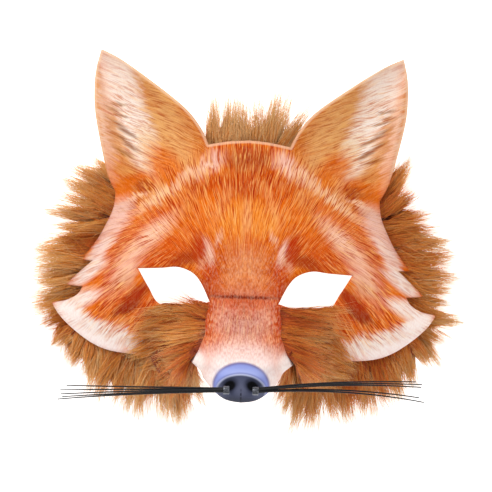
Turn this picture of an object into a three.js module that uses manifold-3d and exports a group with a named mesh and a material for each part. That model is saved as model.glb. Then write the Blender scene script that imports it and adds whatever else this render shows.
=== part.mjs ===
// A fox half mask, lying face up: a thin moulded face with ears, cut eyes and a snout,
// fur ruffs behind its edges, a fur cheek on each side and two bunches of bristle whiskers.
// Millimetres. +X is to the right of the face as seen, +Y towards the ears, +Z out of the face.

import * as THREE from "three";
import { mergeVertices } from "three/addons/utils/BufferGeometryUtils.js";
import Module from "manifold-3d";

// Driving sizes.
const FACE_SPAN = 205.4; // between the two lowest cheek points
const SHELL_WALL = 3; // printed plush on its moulded backing
const GAP = 0.3; // between pieces that touch
const EAR_CUP = 8; // hollow of an ear below its rims
const EAR_ROLL = 1.6; // how far the rims of an ear curl forward
const EAR_FOLD = 6; // half the width of the crease at the foot of an ear
const NOSE_PUFF = 3.5; // swelling of the nose pad
const NOSTRIL_DEPTH = 2.6;
const NOSTRIL_RADIUS = 2.4;

const RUFF_THICKNESS = 15; // fur beside the face
const RUFF_TUCK = 10; // how far the ruff reaches in under the rim
const RUFF_LOCKS = 15;
const CROWN_THICKNESS = 12; // fur between the ears
const CROWN_TUCK = 9;
const CROWN_LOCKS = 10;
const CHEEK_PILE = 7; // fur lying on the face under an eye
const CHEEK_LOCKS = 8;
const JOWL_THICKNESS = 13; // fur hanging below the face
const JOWL_TUCK = 9;
const JOWL_LOCKS = 13;
const LOCK_TIP = 0.9; // thickness at the point of a lock
const LOCK_RIDGE = 2.4; // height of a lock above the valleys beside it
const SHORTEST_EDGE = 0.15; // of a facet that a cut leaves
const THINNEST_FACET = 0.04;

const BRISTLES = 5; // in each bunch
const BRISTLE_ROOT = 0.7;
const BRISTLE_TIP = 0.4;
const BRISTLE_LENGTH = 86;
const CRIMP_WALL = 0.45;
const CRIMP_LENGTH = 3;
const CRIMP_SLACK = 0.45; // between the bristles and the crimp around them

// The free form of the face is drawn in hundredths of its half span.
const PART = FACE_SPAN / 200;
const drawn = (points) => points.map((point) => point.map((value) => value * PART));

// Edge of the right half, from the middle of the crown to the middle of the lip.
// Each run is smooth, and a corner stands between two runs.
const CROWN_EDGE = drawn([[0, 53.5], [10.1, 52.7], [21, 50.7]]);
const EAR_INNER = drawn([[21, 50.7], [25.5, 59.5], [34.6, 70], [54, 84.5], [68.5, 94.2], [78.1, 99]]);
const EAR_OUTER = drawn([[78.1, 99], [80.2, 90.3], [81.1, 79.4], [79.9, 64], [73.5, 36.9], [68.4, 25.5]]);
const TEMPLE = drawn([[68.4, 25.5], [69.4, 16.9], [73.4, 7.8], [78.2, -0.6], [85.8, -10]]);
const FIRST_NOTCH = drawn([[85.8, -10], [78.8, -10.1]]);
const SECOND_POINT = drawn([[78.8, -10.1], [83.8, -14.5], [93.2, -23.1]]);
const SECOND_NOTCH = drawn([[93.2, -23.1], [83.6, -23.7]]);
const THIRD_POINT = drawn([[83.6, -23.7], [86.2, -28.1], [92.3, -31.5], [100, -33.1]]);
const FLAP_EDGE = drawn([[100, -33.1], [94.8, -39.8], [85.6, -47.4], [75.4, -53.4], [64.8, -56.2], [45.9, -57.2]]);
const HIDDEN_EDGE = drawn([[45.9, -57.2], [26, -57.8]]);
const LIP_EDGE = drawn([[26, -57.8], [20.6, -61.6], [18.2, -66.1], [13, -71.7], [7.2, -75.2], [0, -76.3]]);
const EDGE_RUNS = [
  CROWN_EDGE, EAR_INNER, EAR_OUTER, TEMPLE, FIRST_NOTCH, SECOND_POINT,
  SECOND_NOTCH, THIRD_POINT, FLAP_EDGE, HIDDEN_EDGE, LIP_EDGE,
];

// Right eye, upper lid outward and lower lid back.
const UPPER_LID = drawn([[17, -28.9], [21.6, -19.4], [26.4, -14.1], [34, -11.5], [42.8, -12.3], [55, -13]]);
const LOWER_LID = drawn([[55, -13], [49.1, -22.5], [43, -30.9], [30, -32.2], [17, -28.9]]);

// Profiles against the distance up the face: [up, value].
const BROW_HEIGHT = drawn([[-88, 39], [-63, 47], [-44, 54.5], [-27, 60.4], [-10, 65.2], [10, 63.3], [34, 55.5], [54, 44.8]]);
const HALF_WIDTH = drawn([[-80, 103], [-44, 102], [-33, 100], [-23, 92], [-10, 84], [0, 78], [26, 69], [54, 62]]);
const RIM_HEIGHT = drawn([[-80, 13], [-33, 13.6], [0, 16.5], [26, 19], [54, 20]]);
const RIDGE_HEIGHT = drawn([[-78, 94], [-74, 99], [-68, 101.7], [-61, 100.7], [-56, 97.8], [-44, 83.5], [-32, 66], [-27, 60.4]]);
const SNOUT_HALF = drawn([[-80, 13], [-74, 15.6], [-68, 19.5], [-62, 23.4], [-57.5, 26], [-50.5, 22.9], [-34.5, 19], [-26, 17.5]]);
const SNOUT_DROP = drawn([[-78, 15], [-68, 21.5], [-62, 24.4], [-57.5, 22.4], [-44, 13.6], [-34, 6], [-27, 2]]);
const SNOUT_FOOT = drawn([[-80, 30], [-62, 27.5], [-57.5, 26], [-50.5, 22.9], [-34.5, 19], [-26, 17.5]]);

// Ear planes and the nose, as [across, up] or [across, up, out].
const [EAR_NOTCH, EAR_FOOT, EAR_TIP] = drawn([[21, 50.7, 43.8], [68.4, 25.5, 19], [78.1, 99, 25.5]]);
const [NOSE_CENTRE, NOSE_RADII, NOSTRIL] = drawn([[0, -66.6], [14, 9.8], [5, -66.9]]);
const WHISKER_ROOT = drawn([[5.6, -69.9]])[0];
const SNOUT_START = [-23.5 * PART, -29 * PART];

// Fur: where each strip's roots and tips run on the right side.
const RUFF_ROOTS = drawn([[70, 35], [67, 26], [69, 14], [75, 2], [81, -14], [88, -29], [91, -43]]);
const RUFF_TIPS = drawn([[80, 41.5], [92, 36], [103, 18], [109, 2], [112, -20], [111, -40], [104, -57]]);
const CROWN_ROOTS = drawn([[-24, 51], [-12, 52.5], [0, 53.5], [12, 52.5], [24, 51]]);
const CROWN_TIPS = drawn([[-27, 68], [-17, 74], [0, 73], [19, 75.5], [37, 69]]);
const CHEEK_ROOTS = drawn([[17.5, -29.5], [19.5, -37], [22, -47], [25, -55], [27, -59]]);
const CHEEK_TIPS = drawn([[46, -29.5], [50, -38], [52, -48], [49, -60], [42, -66], [29, -66]]);
const JOWL_ROOTS = drawn([[88, -45.5], [80, -50.5], [66, -56], [50, -57], [36, -57.6], [25, -58]]);
const JOWL_TIPS = {
  left: drawn([[99, -59], [91, -68], [78, -82], [62, -91], [45, -95], [29, -95], [20, -74]]),
  right: drawn([[99, -59], [91, -70], [79, -92], [64, -95], [48, -95], [31, -99], [20, -76]]),
};
const JOWL_DROOP = [0.12, 0.3]; // height of the tips as shares of the roots' height, outer and inner
const PARTING = drawn([[84, -42], [112, -66]]); // between ruff and jowl

const wasm = await Module();
wasm.setup();

const clamp = (value, low, high) => Math.min(high, Math.max(low, value));
const mix = (a, b, share) => a + (b - a) * share;

function ease(from, to, value) {
  const share = clamp((value - from) / (to - from), 0, 1);
  return share * share * (3 - 2 * share);
}

// A repeatable number from 0 to 1 for lock number n of one kind.
function chance(n, kind) {
  const wave = Math.sin(n * 12.9898 + kind * 78.233) * 43758.5453;
  return wave - Math.floor(wave);
}

// Value at one place of a profile given as rising [place, value] stations.
function reading(profile, place) {
  const last = profile.length - 1;
  const at = clamp(place, profile[0][0], profile[last][0]);
  let i = 0;
  while (i < last - 1 && at > profile[i + 1][0]) i += 1;
  const slope = (j) => {
    const before = profile[Math.max(j - 1, 0)];
    const after = profile[Math.min(j + 1, last)];
    return (after[1] - before[1]) / (after[0] - before[0]);
  };
  const span = profile[i + 1][0] - profile[i][0];
  const t = (at - profile[i][0]) / span;
  const bend = THREE.MathUtils.lerp;
  const start = profile[i][1] + slope(i) * span * t;
  const end = profile[i + 1][1] - slope(i + 1) * span * (1 - t);
  return bend(start, end, t * t * (3 - 2 * t));
}

// Points along a smooth run, its ends included.
function smoothRun(points, steps) {
  if (points.length === 2) return points.map(([x, y]) => new THREE.Vector2(x, y));
  return new THREE.SplineCurve(points.map(([x, y]) => new THREE.Vector2(x, y))).getPoints(steps);
}

function curveAt(points, share) {
  const curve = new THREE.SplineCurve(points.map(([x, y]) => new THREE.Vector2(x, y)));
  return curve.getPoint(clamp(share, 0, 1));
}

// Keeps only the positions of a geometry and joins its equal corners.
function welded(geometry) {
  geometry.deleteAttribute("normal");
  geometry.deleteAttribute("uv");
  return mergeVertices(geometry);
}

function toSolid(geometry) {
  const mesh = new wasm.Mesh({
    numProp: 3,
    vertProperties: new Float32Array(geometry.attributes.position.array),
    triVerts: new Uint32Array(geometry.index.array),
  });
  return new wasm.Manifold(mesh);
}

function toGeometry(solid) {
  const mesh = solid.getMesh();
  const geometry = new THREE.BufferGeometry();
  geometry.setAttribute("position", new THREE.BufferAttribute(mesh.vertProperties, 3));
  geometry.setIndex(new THREE.BufferAttribute(mesh.triVerts, 1));
  return geometry;
}

// A closed block of columns by rows, each corner put in place by place(u, v, top).
function block(columns, rows, place) {
  const geometry = welded(new THREE.BoxGeometry(1, 1, 1, columns, rows, 1));
  const corner = geometry.attributes.position;
  for (let i = 0; i < corner.count; i += 1) {
    const [x, y, z] = place(corner.getX(i) + 0.5, corner.getY(i) + 0.5, corner.getZ(i) > 0);
    corner.setXYZ(i, x, y, z);
  }
  return toSolid(geometry);
}

// An upright prism on an outline, tall enough to pass through the whole mask.
function prism(outline) {
  const shape = new THREE.Shape(outline);
  const height = FACE_SPAN * 2;
  const geometry = new THREE.ExtrudeGeometry(shape, { depth: height, bevelEnabled: false });
  geometry.translate(0, 0, -height / 2);
  return toSolid(welded(geometry));
}

// An outline moved out by a distance along the mean normal at each corner.
function grown(outline, distance) {
  const count = outline.length;
  const turn = THREE.ShapeUtils.isClockWise(outline) ? -1 : 1;
  return outline.map((point, i) => {
    const before = point.clone().sub(outline[(i + count - 1) % count]).normalize();
    const after = outline[(i + 1) % count].clone().sub(point).normalize();
    const along = before.clone().add(after).normalize();
    const spread = distance / Math.max(0.5, along.dot(after));
    return new THREE.Vector2(point.x + along.y * turn * spread, point.y - along.x * turn * spread);
  });
}

function mirrored(geometry) {
  const copy = geometry.clone().scale(-1, 1, 1);
  const index = copy.index;
  for (let i = 0; i < index.count; i += 3) {
    const first = index.getX(i);
    index.setX(i, index.getX(i + 1));
    index.setX(i + 1, first);
  }
  return copy;
}

// A solid made for the right side, put on either side.
function onSide(side, solid) {
  return side > 0 ? solid : toSolid(mirrored(toGeometry(solid)));
}

// The corners that share an edge with each corner.
function neighbours(faces) {
  const near = new Map();
  for (const face of faces) {
    for (const corner of face) {
      if (!near.has(corner)) near.set(corner, new Set());
      face.forEach((other) => other !== corner && near.get(corner).add(other));
    }
  }
  return near;
}

function normalOf(corners, [a, b, c]) {
  const first = new THREE.Vector3().subVectors(corners[b], corners[a]);
  return first.cross(new THREE.Vector3().subVectors(corners[c], corners[a]));
}

// Whether moving one corner onto another keeps every facet the right way up.
function movesSafely(corners, faces, from, to) {
  const kept = faces.filter((face) => face.includes(from) && !face.includes(to));
  return kept.every((face) => {
    const moved = face.map((corner) => (corner === from ? to : corner));
    return normalOf(corners, face).dot(normalOf(corners, moved)) > 0;
  });
}

// The faces after one short edge is closed up, or null where none is short.
function withoutShortEdge(corners, faces) {
  const near = neighbours(faces);
  for (const face of faces) {
    for (let i = 0; i < 3; i += 1) {
      const [from, to] = [face[i], face[(i + 1) % 3]];
      const shared = [...near.get(from)].filter((corner) => near.get(to).has(corner));
      const short = corners[from].distanceTo(corners[to]) < SHORTEST_EDGE;
      if (short && shared.length === 2 && movesSafely(corners, faces, from, to)) {
        const moved = faces.map((f) => f.map((corner) => (corner === from ? to : corner)));
        return moved.filter((f) => new Set(f).size === 3);
      }
    }
  }
  return null;
}

// Least height of a facet, and its longest edge's start.
function thinness(corners, face) {
  const lengths = face.map((corner, i) => corners[corner].distanceTo(corners[face[(i + 1) % 3]]));
  const longest = lengths.indexOf(Math.max(...lengths));
  return { height: normalOf(corners, face).length() / lengths[longest], longest };
}

// The faces after the long edge of one sliver is turned, or null where none is thin.
function withoutSliver(corners, faces) {
  const near = neighbours(faces);
  for (const face of faces) {
    const { height, longest } = thinness(corners, face);
    if (height > THINNEST_FACET) continue;
    const [p, q, r] = [0, 1, 2].map((i) => face[(longest + i) % 3]);
    const beside = faces.find((f) => f !== face && f.includes(p) && f.includes(q));
    const s = beside.find((corner) => corner !== p && corner !== q);
    const turned = [[p, s, r], [s, q, r]];
    const better = turned.every((f) => thinness(corners, f).height > height * 1.05);
    if (better && !near.get(r).has(s)) return [...faces.filter((f) => f !== face && f !== beside), ...turned];
  }
  return null;
}

// A cut solid's geometry with its short edges and slivers cleared.
function mended(solid) {
  const rough = toGeometry(solid);
  const place = rough.attributes.position;
  const corners = [...Array(place.count).keys()].map((i) => new THREE.Vector3().fromBufferAttribute(place, i));
  let faces = [];
  for (let i = 0; i < rough.index.count; i += 3) faces.push([0, 1, 2].map((k) => rough.index.getX(i + k)));
  for (let next = faces; next; next = withoutShortEdge(corners, faces) ?? withoutSliver(corners, faces)) {
    faces = next;
  }
  const geometry = new THREE.BufferGeometry().setFromPoints(corners);
  geometry.setIndex(faces.flat());
  return mergeVertices(geometry.toNonIndexed());
}

// Height of the brow, cheeks and crown without ears or snout.
function browAt(x, y) {
  const rim = reading(RIM_HEIGHT, y);
  const share = Math.abs(x) / reading(HALF_WIDTH, y);
  return rim + (reading(BROW_HEIGHT, y) - rim) * (1 - share ** 2.2);
}

// Where a point stands on an ear: along its foot and up towards its tip.
function earShares(x, y) {
  const foot = [EAR_FOOT[0] - EAR_NOTCH[0], EAR_FOOT[1] - EAR_NOTCH[1]];
  const tip = [EAR_TIP[0] - EAR_NOTCH[0], EAR_TIP[1] - EAR_NOTCH[1]];
  const here = [Math.abs(x) - EAR_NOTCH[0], y - EAR_NOTCH[1]];
  const area = foot[0] * tip[1] - foot[1] * tip[0];
  const along = (here[0] * tip[1] - here[1] * tip[0]) / area;
  const up = (foot[0] * here[1] - foot[1] * here[0]) / area;
  return { along, up, length: area / Math.hypot(foot[0], foot[1]) };
}

function earAt(along, up) {
  const plane = EAR_NOTCH[2] * (1 - along - up) + EAR_FOOT[2] * along + EAR_TIP[2] * up;
  const side = clamp((2 * along + up - 1) / (1.12 - up), -1, 1);
  const hollow = EAR_CUP * (1 - side * side) * ease(-0.1, 0.35, up) * (1 - up * up);
  return plane - hollow + EAR_ROLL * ease(0.7, 1, Math.abs(side));
}

// Height of the snout, its ridge rounding down to each side.
function snoutAt(x, y) {
  const across = Math.abs(x) / reading(SNOUT_HALF, y);
  const top = reading(RIDGE_HEIGHT, y) - reading(SNOUT_DROP, y) * across ** 2.4;
  const pad = Math.hypot((x - NOSE_CENTRE[0]) / NOSE_RADII[0], (y - NOSE_CENTRE[1]) / NOSE_RADII[1]);
  const bore = Math.hypot(Math.abs(x) - NOSTRIL[0], y - NOSTRIL[1]) / NOSTRIL_RADIUS;
  return top + NOSE_PUFF * ease(1.05, 0.62, pad) - NOSTRIL_DEPTH * Math.exp(-bore * bore);
}

// Height of the face's front at a point.
function faceAt(x, y) {
  const { along, up, length } = earShares(x, y);
  const fold = EAR_FOLD / length;
  const onEar = ease(-fold, fold, up) * ease(EAR_NOTCH[0] * 0.65, EAR_NOTCH[0] * 1.1, Math.abs(x));
  const head = mix(browAt(x, y), earAt(along, up), onEar);
  const onSnout = ease(SNOUT_START[0], SNOUT_START[1], y)
    * ease(1.1, 0.92, Math.abs(x) / reading(SNOUT_FOOT, y));
  return onSnout > 0 ? mix(head, Math.max(head, snoutAt(x, y)), onSnout) : head;
}

// Upright thickness that gives the wall its thickness square to the surface.
function uprightWall(x, y) {
  const step = 0.4 * PART;
  const slopeX = (faceAt(x + step, y) - faceAt(x - step, y)) / (2 * step);
  const slopeY = (faceAt(x, y + step) - faceAt(x, y - step)) / (2 * step);
  return SHELL_WALL * Math.hypot(1, slopeX, slopeY);
}

// Columns crowd together on the snout, rows crowd together at the nose.
const INNER_COLUMNS = 7;
const OUTER_COLUMNS = 9;
const ROW_ENDS = drawn([[0, -79], [11, -55], [18, -23], [33, 101]]);
const ROWS = ROW_ENDS[3][0] / PART;

// Place on the right half of the face: u outward from the middle, v up from the lip.
function gridPoint(u, v) {
  const row = v * ROWS * PART;
  const i = row < ROW_ENDS[1][0] ? 0 : row < ROW_ENDS[2][0] ? 1 : 2;
  const rowShare = (row - ROW_ENDS[i][0]) / (ROW_ENDS[i + 1][0] - ROW_ENDS[i][0]);
  const y = mix(ROW_ENDS[i][1], ROW_ENDS[i + 1][1], rowShare);
  const column = u * (INNER_COLUMNS + OUTER_COLUMNS);
  const foot = reading(SNOUT_FOOT, y) * 1.1;
  const inner = foot * (Math.min(column, INNER_COLUMNS) / INNER_COLUMNS) ** 0.85;
  const outer = Math.max(0, column - INNER_COLUMNS) / OUTER_COLUMNS;
  return [inner + outer * (102 * PART - foot), y];
}

// The face as a sheet between its front, raised by above, and its back, lowered by below.
function faceSheet(above, below) {
  const half = block(INNER_COLUMNS + OUTER_COLUMNS, ROWS, (u, v, top) => {
    const [x, y] = gridPoint(u, v);
    const front = faceAt(x, y);
    return [x, y, top ? front + above : front - uprightWall(x, y) - below];
  });
  return half.add(onSide(-1, half));
}

function faceOutline() {
  const right = EDGE_RUNS.flatMap((run) => smoothRun(run, (run.length - 1) * 2).slice(0, -1));
  const lip = LIP_EDGE[LIP_EDGE.length - 1];
  const left = right.slice(1).reverse().map((point) => new THREE.Vector2(-point.x, point.y));
  return [...right, new THREE.Vector2(0, lip[1]), ...left];
}

function eyeOutline(side) {
  const lids = [...smoothRun(UPPER_LID, 12).slice(0, -1), ...smoothRun(LOWER_LID, 10).slice(0, -1)];
  return lids.map((point) => new THREE.Vector2(side * point.x, point.y));
}

// A strip of fur whose locks run from its roots to its tips.
// shape(u, v) gives the heights of its underside and of its upper side.
function furStrip({ roots, tips, tuck, locks, rows, kind, shape }) {
  const columns = locks * 2;
  return block(columns, rows, (u, v, top) => {
    const column = Math.round(u * columns);
    const peak = column % 2 === 1;
    const root = curveAt(roots, u);
    const reach = curveAt(tips, u).sub(root);
    const length = peak ? 1 - 0.16 * chance(column, kind) : 0.74 + 0.1 * chance(column, kind);
    const start = -tuck / reach.length();
    const share = mix(start, length, v);
    const sway = peak ? (chance(column, kind + 1) - 0.5) * 0.1 * v * v : 0;
    const x = root.x + reach.x * share + reach.y * sway;
    const y = root.y + reach.y * share - reach.x * sway;
    const [low, high] = shape(x, y, u, v);
    const middle = mix(low, high, 0.4);
    const closing = ease(0.55, 1, v);
    const ridge = peak ? 0 : LOCK_RIDGE * ease(0.05, 0.4, v);
    const upper = mix(high - ridge, middle + LOCK_TIP / 2, closing);
    const lower = mix(low, middle - LOCK_TIP / 2, closing);
    return [x, y, top ? upper : lower];
  });
}

// The half of the plan on one side of the parting line, kept back by half a gap.
function besideParting(side) {
  const [from, to] = PARTING;
  const along = new THREE.Vector2(to[0] - from[0], to[1] - from[1]).normalize();
  const out = new THREE.Vector2(-along.y, along.x).multiplyScalar(side);
  const base = new THREE.Vector2(from[0], from[1]).addScaledVector(out, GAP / 2);
  const far = FACE_SPAN;
  const corners = [[-far, 0], [far, 0], [far, far], [-far, far]];
  return prism(corners.map(([a, b]) => base.clone().addScaledVector(along, a).addScaledVector(out, b)));
}

function sideRuff(side, keepOut) {
  const strip = furStrip({
    roots: RUFF_ROOTS, tips: RUFF_TIPS, tuck: RUFF_TUCK, locks: RUFF_LOCKS, rows: 4, kind: 1,
    shape: (x, y, u, v) => [0, RUFF_THICKNESS * (1 - 0.55 * v * v)],
  });
  return onSide(side, strip.intersect(besideParting(1))).subtract(keepOut);
}

function crownRuff(keepOut) {
  const strip = furStrip({
    roots: CROWN_ROOTS, tips: CROWN_TIPS, tuck: CROWN_TUCK, locks: CROWN_LOCKS, rows: 4, kind: 2,
    shape: (x, y, u, v) => {
      const crown = browAt(0, CROWN_EDGE[0][1]) - SHELL_WALL;
      const level = crown - CROWN_THICKNESS * (0.35 + 1.1 * (2 * u - 1) ** 2);
      return [level - CROWN_THICKNESS * 0.5, level + CROWN_THICKNESS * 0.5 - 3 * v];
    },
  });
  return strip.subtract(keepOut);
}

// Fur on the face under an eye, fanning out from the snout and past the hidden edge.
function cheekPatch(side, faceSpace) {
  const strip = furStrip({
    roots: CHEEK_ROOTS, tips: CHEEK_TIPS, tuck: 0, locks: CHEEK_LOCKS, rows: 5, kind: 4,
    shape: (x, y, u, v) => {
      const front = faceAt(Math.max(x, reading(SNOUT_FOOT, y) * 1.12), y);
      const pile = CHEEK_PILE * (0.6 + 0.4 * ease(0, 0.25, v));
      return [front - SHELL_WALL * 0.6, front + pile];
    },
  });
  return onSide(side, strip).subtract(faceSpace);
}

// Fur hanging from behind the lower edge of the face.
function jowl(name, side, keepOut) {
  const strip = furStrip({
    roots: JOWL_ROOTS, tips: JOWL_TIPS[name], tuck: JOWL_TUCK, locks: JOWL_LOCKS, rows: 5, kind: 3,
    shape: (x, y, u, v) => {
      const root = curveAt(JOWL_ROOTS, u);
      const start = faceAt(root.x, root.y) + mix(-SHELL_WALL, CHEEK_PILE - 1, ease(0.55, 0.8, u));
      const tip = start * mix(JOWL_DROOP[0], JOWL_DROOP[1], u) + 4;
      const high = mix(start, tip, v ** 1.4);
      return [Math.max(0, high - JOWL_THICKNESS), high];
    },
  });
  return onSide(side, strip.intersect(besideParting(-1))).subtract(keepOut);
}

// One bristle: a tapered rod bent along a gentle bow.
function bristle(start, end, bow) {
  const steps = 5;
  const geometry = new THREE.CylinderGeometry(0.5, 0.5, 1, 6, steps);
  const place = geometry.attributes.position;
  const reach = new THREE.Vector3().subVectors(end, start);
  const upward = new THREE.Vector3(0, 0, 1);
  const across = new THREE.Vector3().crossVectors(reach, upward).normalize();
  for (let i = 0; i < place.count; i += 1) {
    const share = place.getY(i) + 0.5;
    const width = mix(BRISTLE_ROOT, BRISTLE_TIP, share);
    const point = start.clone().addScaledVector(reach, share);
    point.y += bow * share * (1 - share) * 4;
    point.addScaledVector(across, place.getX(i) * width).addScaledVector(upward, place.getZ(i) * width);
    place.setXYZ(i, point.x, point.y, point.z);
  }
  return welded(geometry);
}

const BUNDLE_RADIUS = (BRISTLE_ROOT + GAP) / (2 * Math.sin(Math.PI / BRISTLES));
const CRIMP_BORE = BUNDLE_RADIUS + BRISTLE_ROOT / 2 + CRIMP_SLACK;
const CRIMP_OUTER = CRIMP_BORE + CRIMP_WALL;

// Middle of the inner end of a crimp, clear of the nose under it.
function crimpStart(side) {
  const [x, y] = WHISKER_ROOT;
  let floor = 0;
  for (let across = x - 1; across <= x + CRIMP_LENGTH + 1; across += 0.5) {
    for (const up of [-1, 0, 1]) floor = Math.max(floor, faceAt(across, y + up * CRIMP_OUTER));
  }
  return new THREE.Vector3(side * x, y, floor + CRIMP_OUTER + GAP * 2);
}

function crimp(side) {
  const rings = [[CRIMP_BORE, 0], [CRIMP_OUTER, 0], [CRIMP_OUTER, 1], [CRIMP_BORE, 1], [CRIMP_BORE, 0]];
  const profile = rings.map(([r, share]) => new THREE.Vector2(r, share * CRIMP_LENGTH));
  const geometry = welded(new THREE.LatheGeometry(profile, 12));
  geometry.rotateZ(-Math.PI / 2);
  const start = crimpStart(1);
  geometry.translate(start.x, start.y, start.z);
  return side > 0 ? geometry : mirrored(geometry);
}

// Where the bristles of each bunch end: how far up the face from the root, highest first,
// and how far a bunch bows up between its ends.
const BUNCHES = {
  left: { rise: [-1.5, -3.6, -5.1, -5.9, -6.9], bow: 0.4 },
  right: { rise: [6.2, 5.3, 4.4, -0.3, -2.2], bow: 2 },
};
const BRISTLE_FALL = 4; // how much lower the tips lie than the roots
const BRISTLE_FAN = 2.5; // spread of the tips in and out of the face

// Each bristle keeps its order around the bundle, so none crosses another.
function whiskers(name, side) {
  const { rise, bow } = BUNCHES[name];
  const turns = [...Array(BRISTLES).keys()].map((i) => (2 * Math.PI * (i + 0.2)) / BRISTLES);
  turns.sort((a, b) => Math.sin(b) - Math.sin(a));
  return turns.map((turn, i) => {
    const start = crimpStart(side);
    start.y += BUNDLE_RADIUS * Math.sin(turn);
    start.z += BUNDLE_RADIUS * Math.cos(turn);
    const end = start.clone();
    end.x += side * BRISTLE_LENGTH * (1 - 0.06 * chance(i, 9));
    end.y += reading(rise.map((value, n) => [n / (rise.length - 1), value]), i / (BRISTLES - 1));
    end.z += BRISTLE_FAN * Math.cos(turn) - BRISTLE_FALL;
    return [`whisker_${name}_${i + 1}`, bristle(start, end, bow)];
  });
}

const PRINT = { color: 0xdd8850, roughness: 0.95, metalness: 0 };
const FUR = { color: 0xb8782f, roughness: 1, metalness: 0 };
const NYLON = { color: 0x151515, roughness: 0.35, metalness: 0 };
const STEEL = { color: 0xa8a8ac, roughness: 0.3, metalness: 0.9 };

function named(name, geometry, finish) {
  const mesh = new THREE.Mesh(geometry, new THREE.MeshStandardMaterial(finish));
  mesh.name = name;
  return mesh;
}

function buildMask() {
  const outline = faceOutline();
  const eyes = prism(eyeOutline(1)).add(prism(eyeOutline(-1)));
  const shell = faceSheet(0, 0).intersect(prism(outline)).subtract(eyes);
  const faceSpace = faceSheet(GAP, GAP).intersect(prism(grown(outline, GAP)));
  const keepOut = faceSheet(FACE_SPAN, GAP).intersect(prism(grown(outline, GAP)));

  const mask = new THREE.Group();
  mask.add(named("face_shell", mended(shell), PRINT));
  mask.add(named("crown_ruff", mended(crownRuff(keepOut)), FUR));
  for (const [name, side] of [["left", -1], ["right", 1]]) {
    const cheek = cheekPatch(side, faceSpace).add(jowl(name, side, keepOut));
    mask.add(named(`side_ruff_${name}`, mended(sideRuff(side, keepOut)), FUR));
    mask.add(named(`cheek_fur_${name}`, mended(cheek), FUR));
    mask.add(named(`whisker_crimp_${name}`, crimp(side), STEEL));
    for (const [node, rod] of whiskers(name, side)) mask.add(named(node, rod, NYLON));
  }
  return mask;
}

// The origin is under the middle of the mask, on the surface it lies on.
function centred(mask) {
  const box = new THREE.Box3().setFromObject(mask);
  const middle = box.getCenter(new THREE.Vector3());
  mask.position.set(-middle.x, -middle.y, -box.min.z);
  return mask;
}

export default centred(buildMask());
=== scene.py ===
import logging
import math
from dataclasses import dataclass
from enum import Enum

import bpy
import numpy as np
from mathutils.geometry import delaunay_2d_cdt
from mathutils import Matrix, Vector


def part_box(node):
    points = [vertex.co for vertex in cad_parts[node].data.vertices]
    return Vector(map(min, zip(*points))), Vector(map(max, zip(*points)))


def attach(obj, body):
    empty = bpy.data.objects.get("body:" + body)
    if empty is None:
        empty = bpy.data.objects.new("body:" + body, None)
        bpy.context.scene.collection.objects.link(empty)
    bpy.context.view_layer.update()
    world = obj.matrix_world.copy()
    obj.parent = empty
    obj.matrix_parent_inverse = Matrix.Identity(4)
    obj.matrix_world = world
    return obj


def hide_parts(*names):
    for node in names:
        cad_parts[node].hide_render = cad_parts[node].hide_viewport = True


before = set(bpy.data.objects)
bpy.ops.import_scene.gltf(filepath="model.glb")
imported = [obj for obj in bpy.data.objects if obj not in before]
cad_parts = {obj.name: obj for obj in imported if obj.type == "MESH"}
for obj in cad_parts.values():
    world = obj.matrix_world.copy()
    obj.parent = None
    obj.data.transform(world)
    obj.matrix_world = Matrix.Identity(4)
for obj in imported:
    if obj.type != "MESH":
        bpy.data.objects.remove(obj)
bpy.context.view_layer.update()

LOG = logging.getLogger("fox_half_mask")
MM = 0.001
PART = 1.027  # the face is drawn in hundredths of its half span
HALF = (0.5, 0.5, 0.5)
UP = (0.0, 0.0, 1.0)
SENSOR = 36
VIEW_DISTANCE = 1300  # from the camera to the mask's middle, in millimetres
VIEW_WIDTH = 492 * 0.5333  # what the picture shows across at that distance, in millimetres
CAMERA_LEVEL = 1.32
CAMERA_TURN = 2
FLOOR_HALF = 3
FLOOR_LEVEL = -0.0002
MIDDLE_LEVEL = 0.04
ROOM_LIGHT = 0.55
LAMPS = (("key", (-0.5, 0.55, 0.95), 0.7, 7.5), ("fill", (0.65, -0.3, 0.9), 0.9, 3.0))
Rows = tuple[tuple[float, ...], ...]


def drawn(rows: Rows) -> np.ndarray:
    """Gives a drawn table in millimetres."""
    return np.array(rows, dtype=float) * PART


def colour(red: float, green: float, blue: float) -> tuple[float, float, float, float]:
    """Turns a screen colour of 0 to 255 into a linear colour.

    Args:
        red: Red share, 0 to 255.
        green: Green share, 0 to 255.
        blue: Blue share, 0 to 255.

    Returns:
        Linear red, green, blue and an alpha of one.
    """
    shares = [value / 255 for value in (red, green, blue)]
    linear = [s / 12.92 if s <= 0.04045 else ((s + 0.055) / 1.055) ** 2.4 for s in shares]
    return (linear[0], linear[1], linear[2], 1.0)


def ease(start: float, end: float, value: np.ndarray) -> np.ndarray:
    """Eases from 0 at start to 1 at end.

    Args:
        start: Value that gives 0.
        end: Value that gives 1.
        value: Values to ease.

    Returns:
        Shares from 0 to 1.
    """
    share = np.clip((value - start) / (end - start), 0, 1)
    return share * share * (3 - 2 * share)


def reading(profile: np.ndarray, place: np.ndarray) -> np.ndarray:
    """Reads a smooth profile.

    Args:
        profile: Rising rows of place and value.
        place: Places to read at.

    Returns:
        The values there.
    """
    count = len(profile)
    at = np.clip(place, profile[0, 0], profile[-1, 0])
    i = np.clip(np.searchsorted(profile[:, 0], at, side="right") - 1, 0, count - 2)
    before = profile[np.maximum(np.arange(count) - 1, 0)]
    after = profile[np.minimum(np.arange(count) + 1, count - 1)]
    slope = (after[:, 1] - before[:, 1]) / (after[:, 0] - before[:, 0])
    span = profile[i + 1, 0] - profile[i, 0]
    share = (at - profile[i, 0]) / span
    start = profile[i, 1] + slope[i] * span * share
    end = profile[i + 1, 1] - slope[i + 1] * span * (1 - share)
    return start + (end - start) * share * share * (3 - 2 * share)


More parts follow.
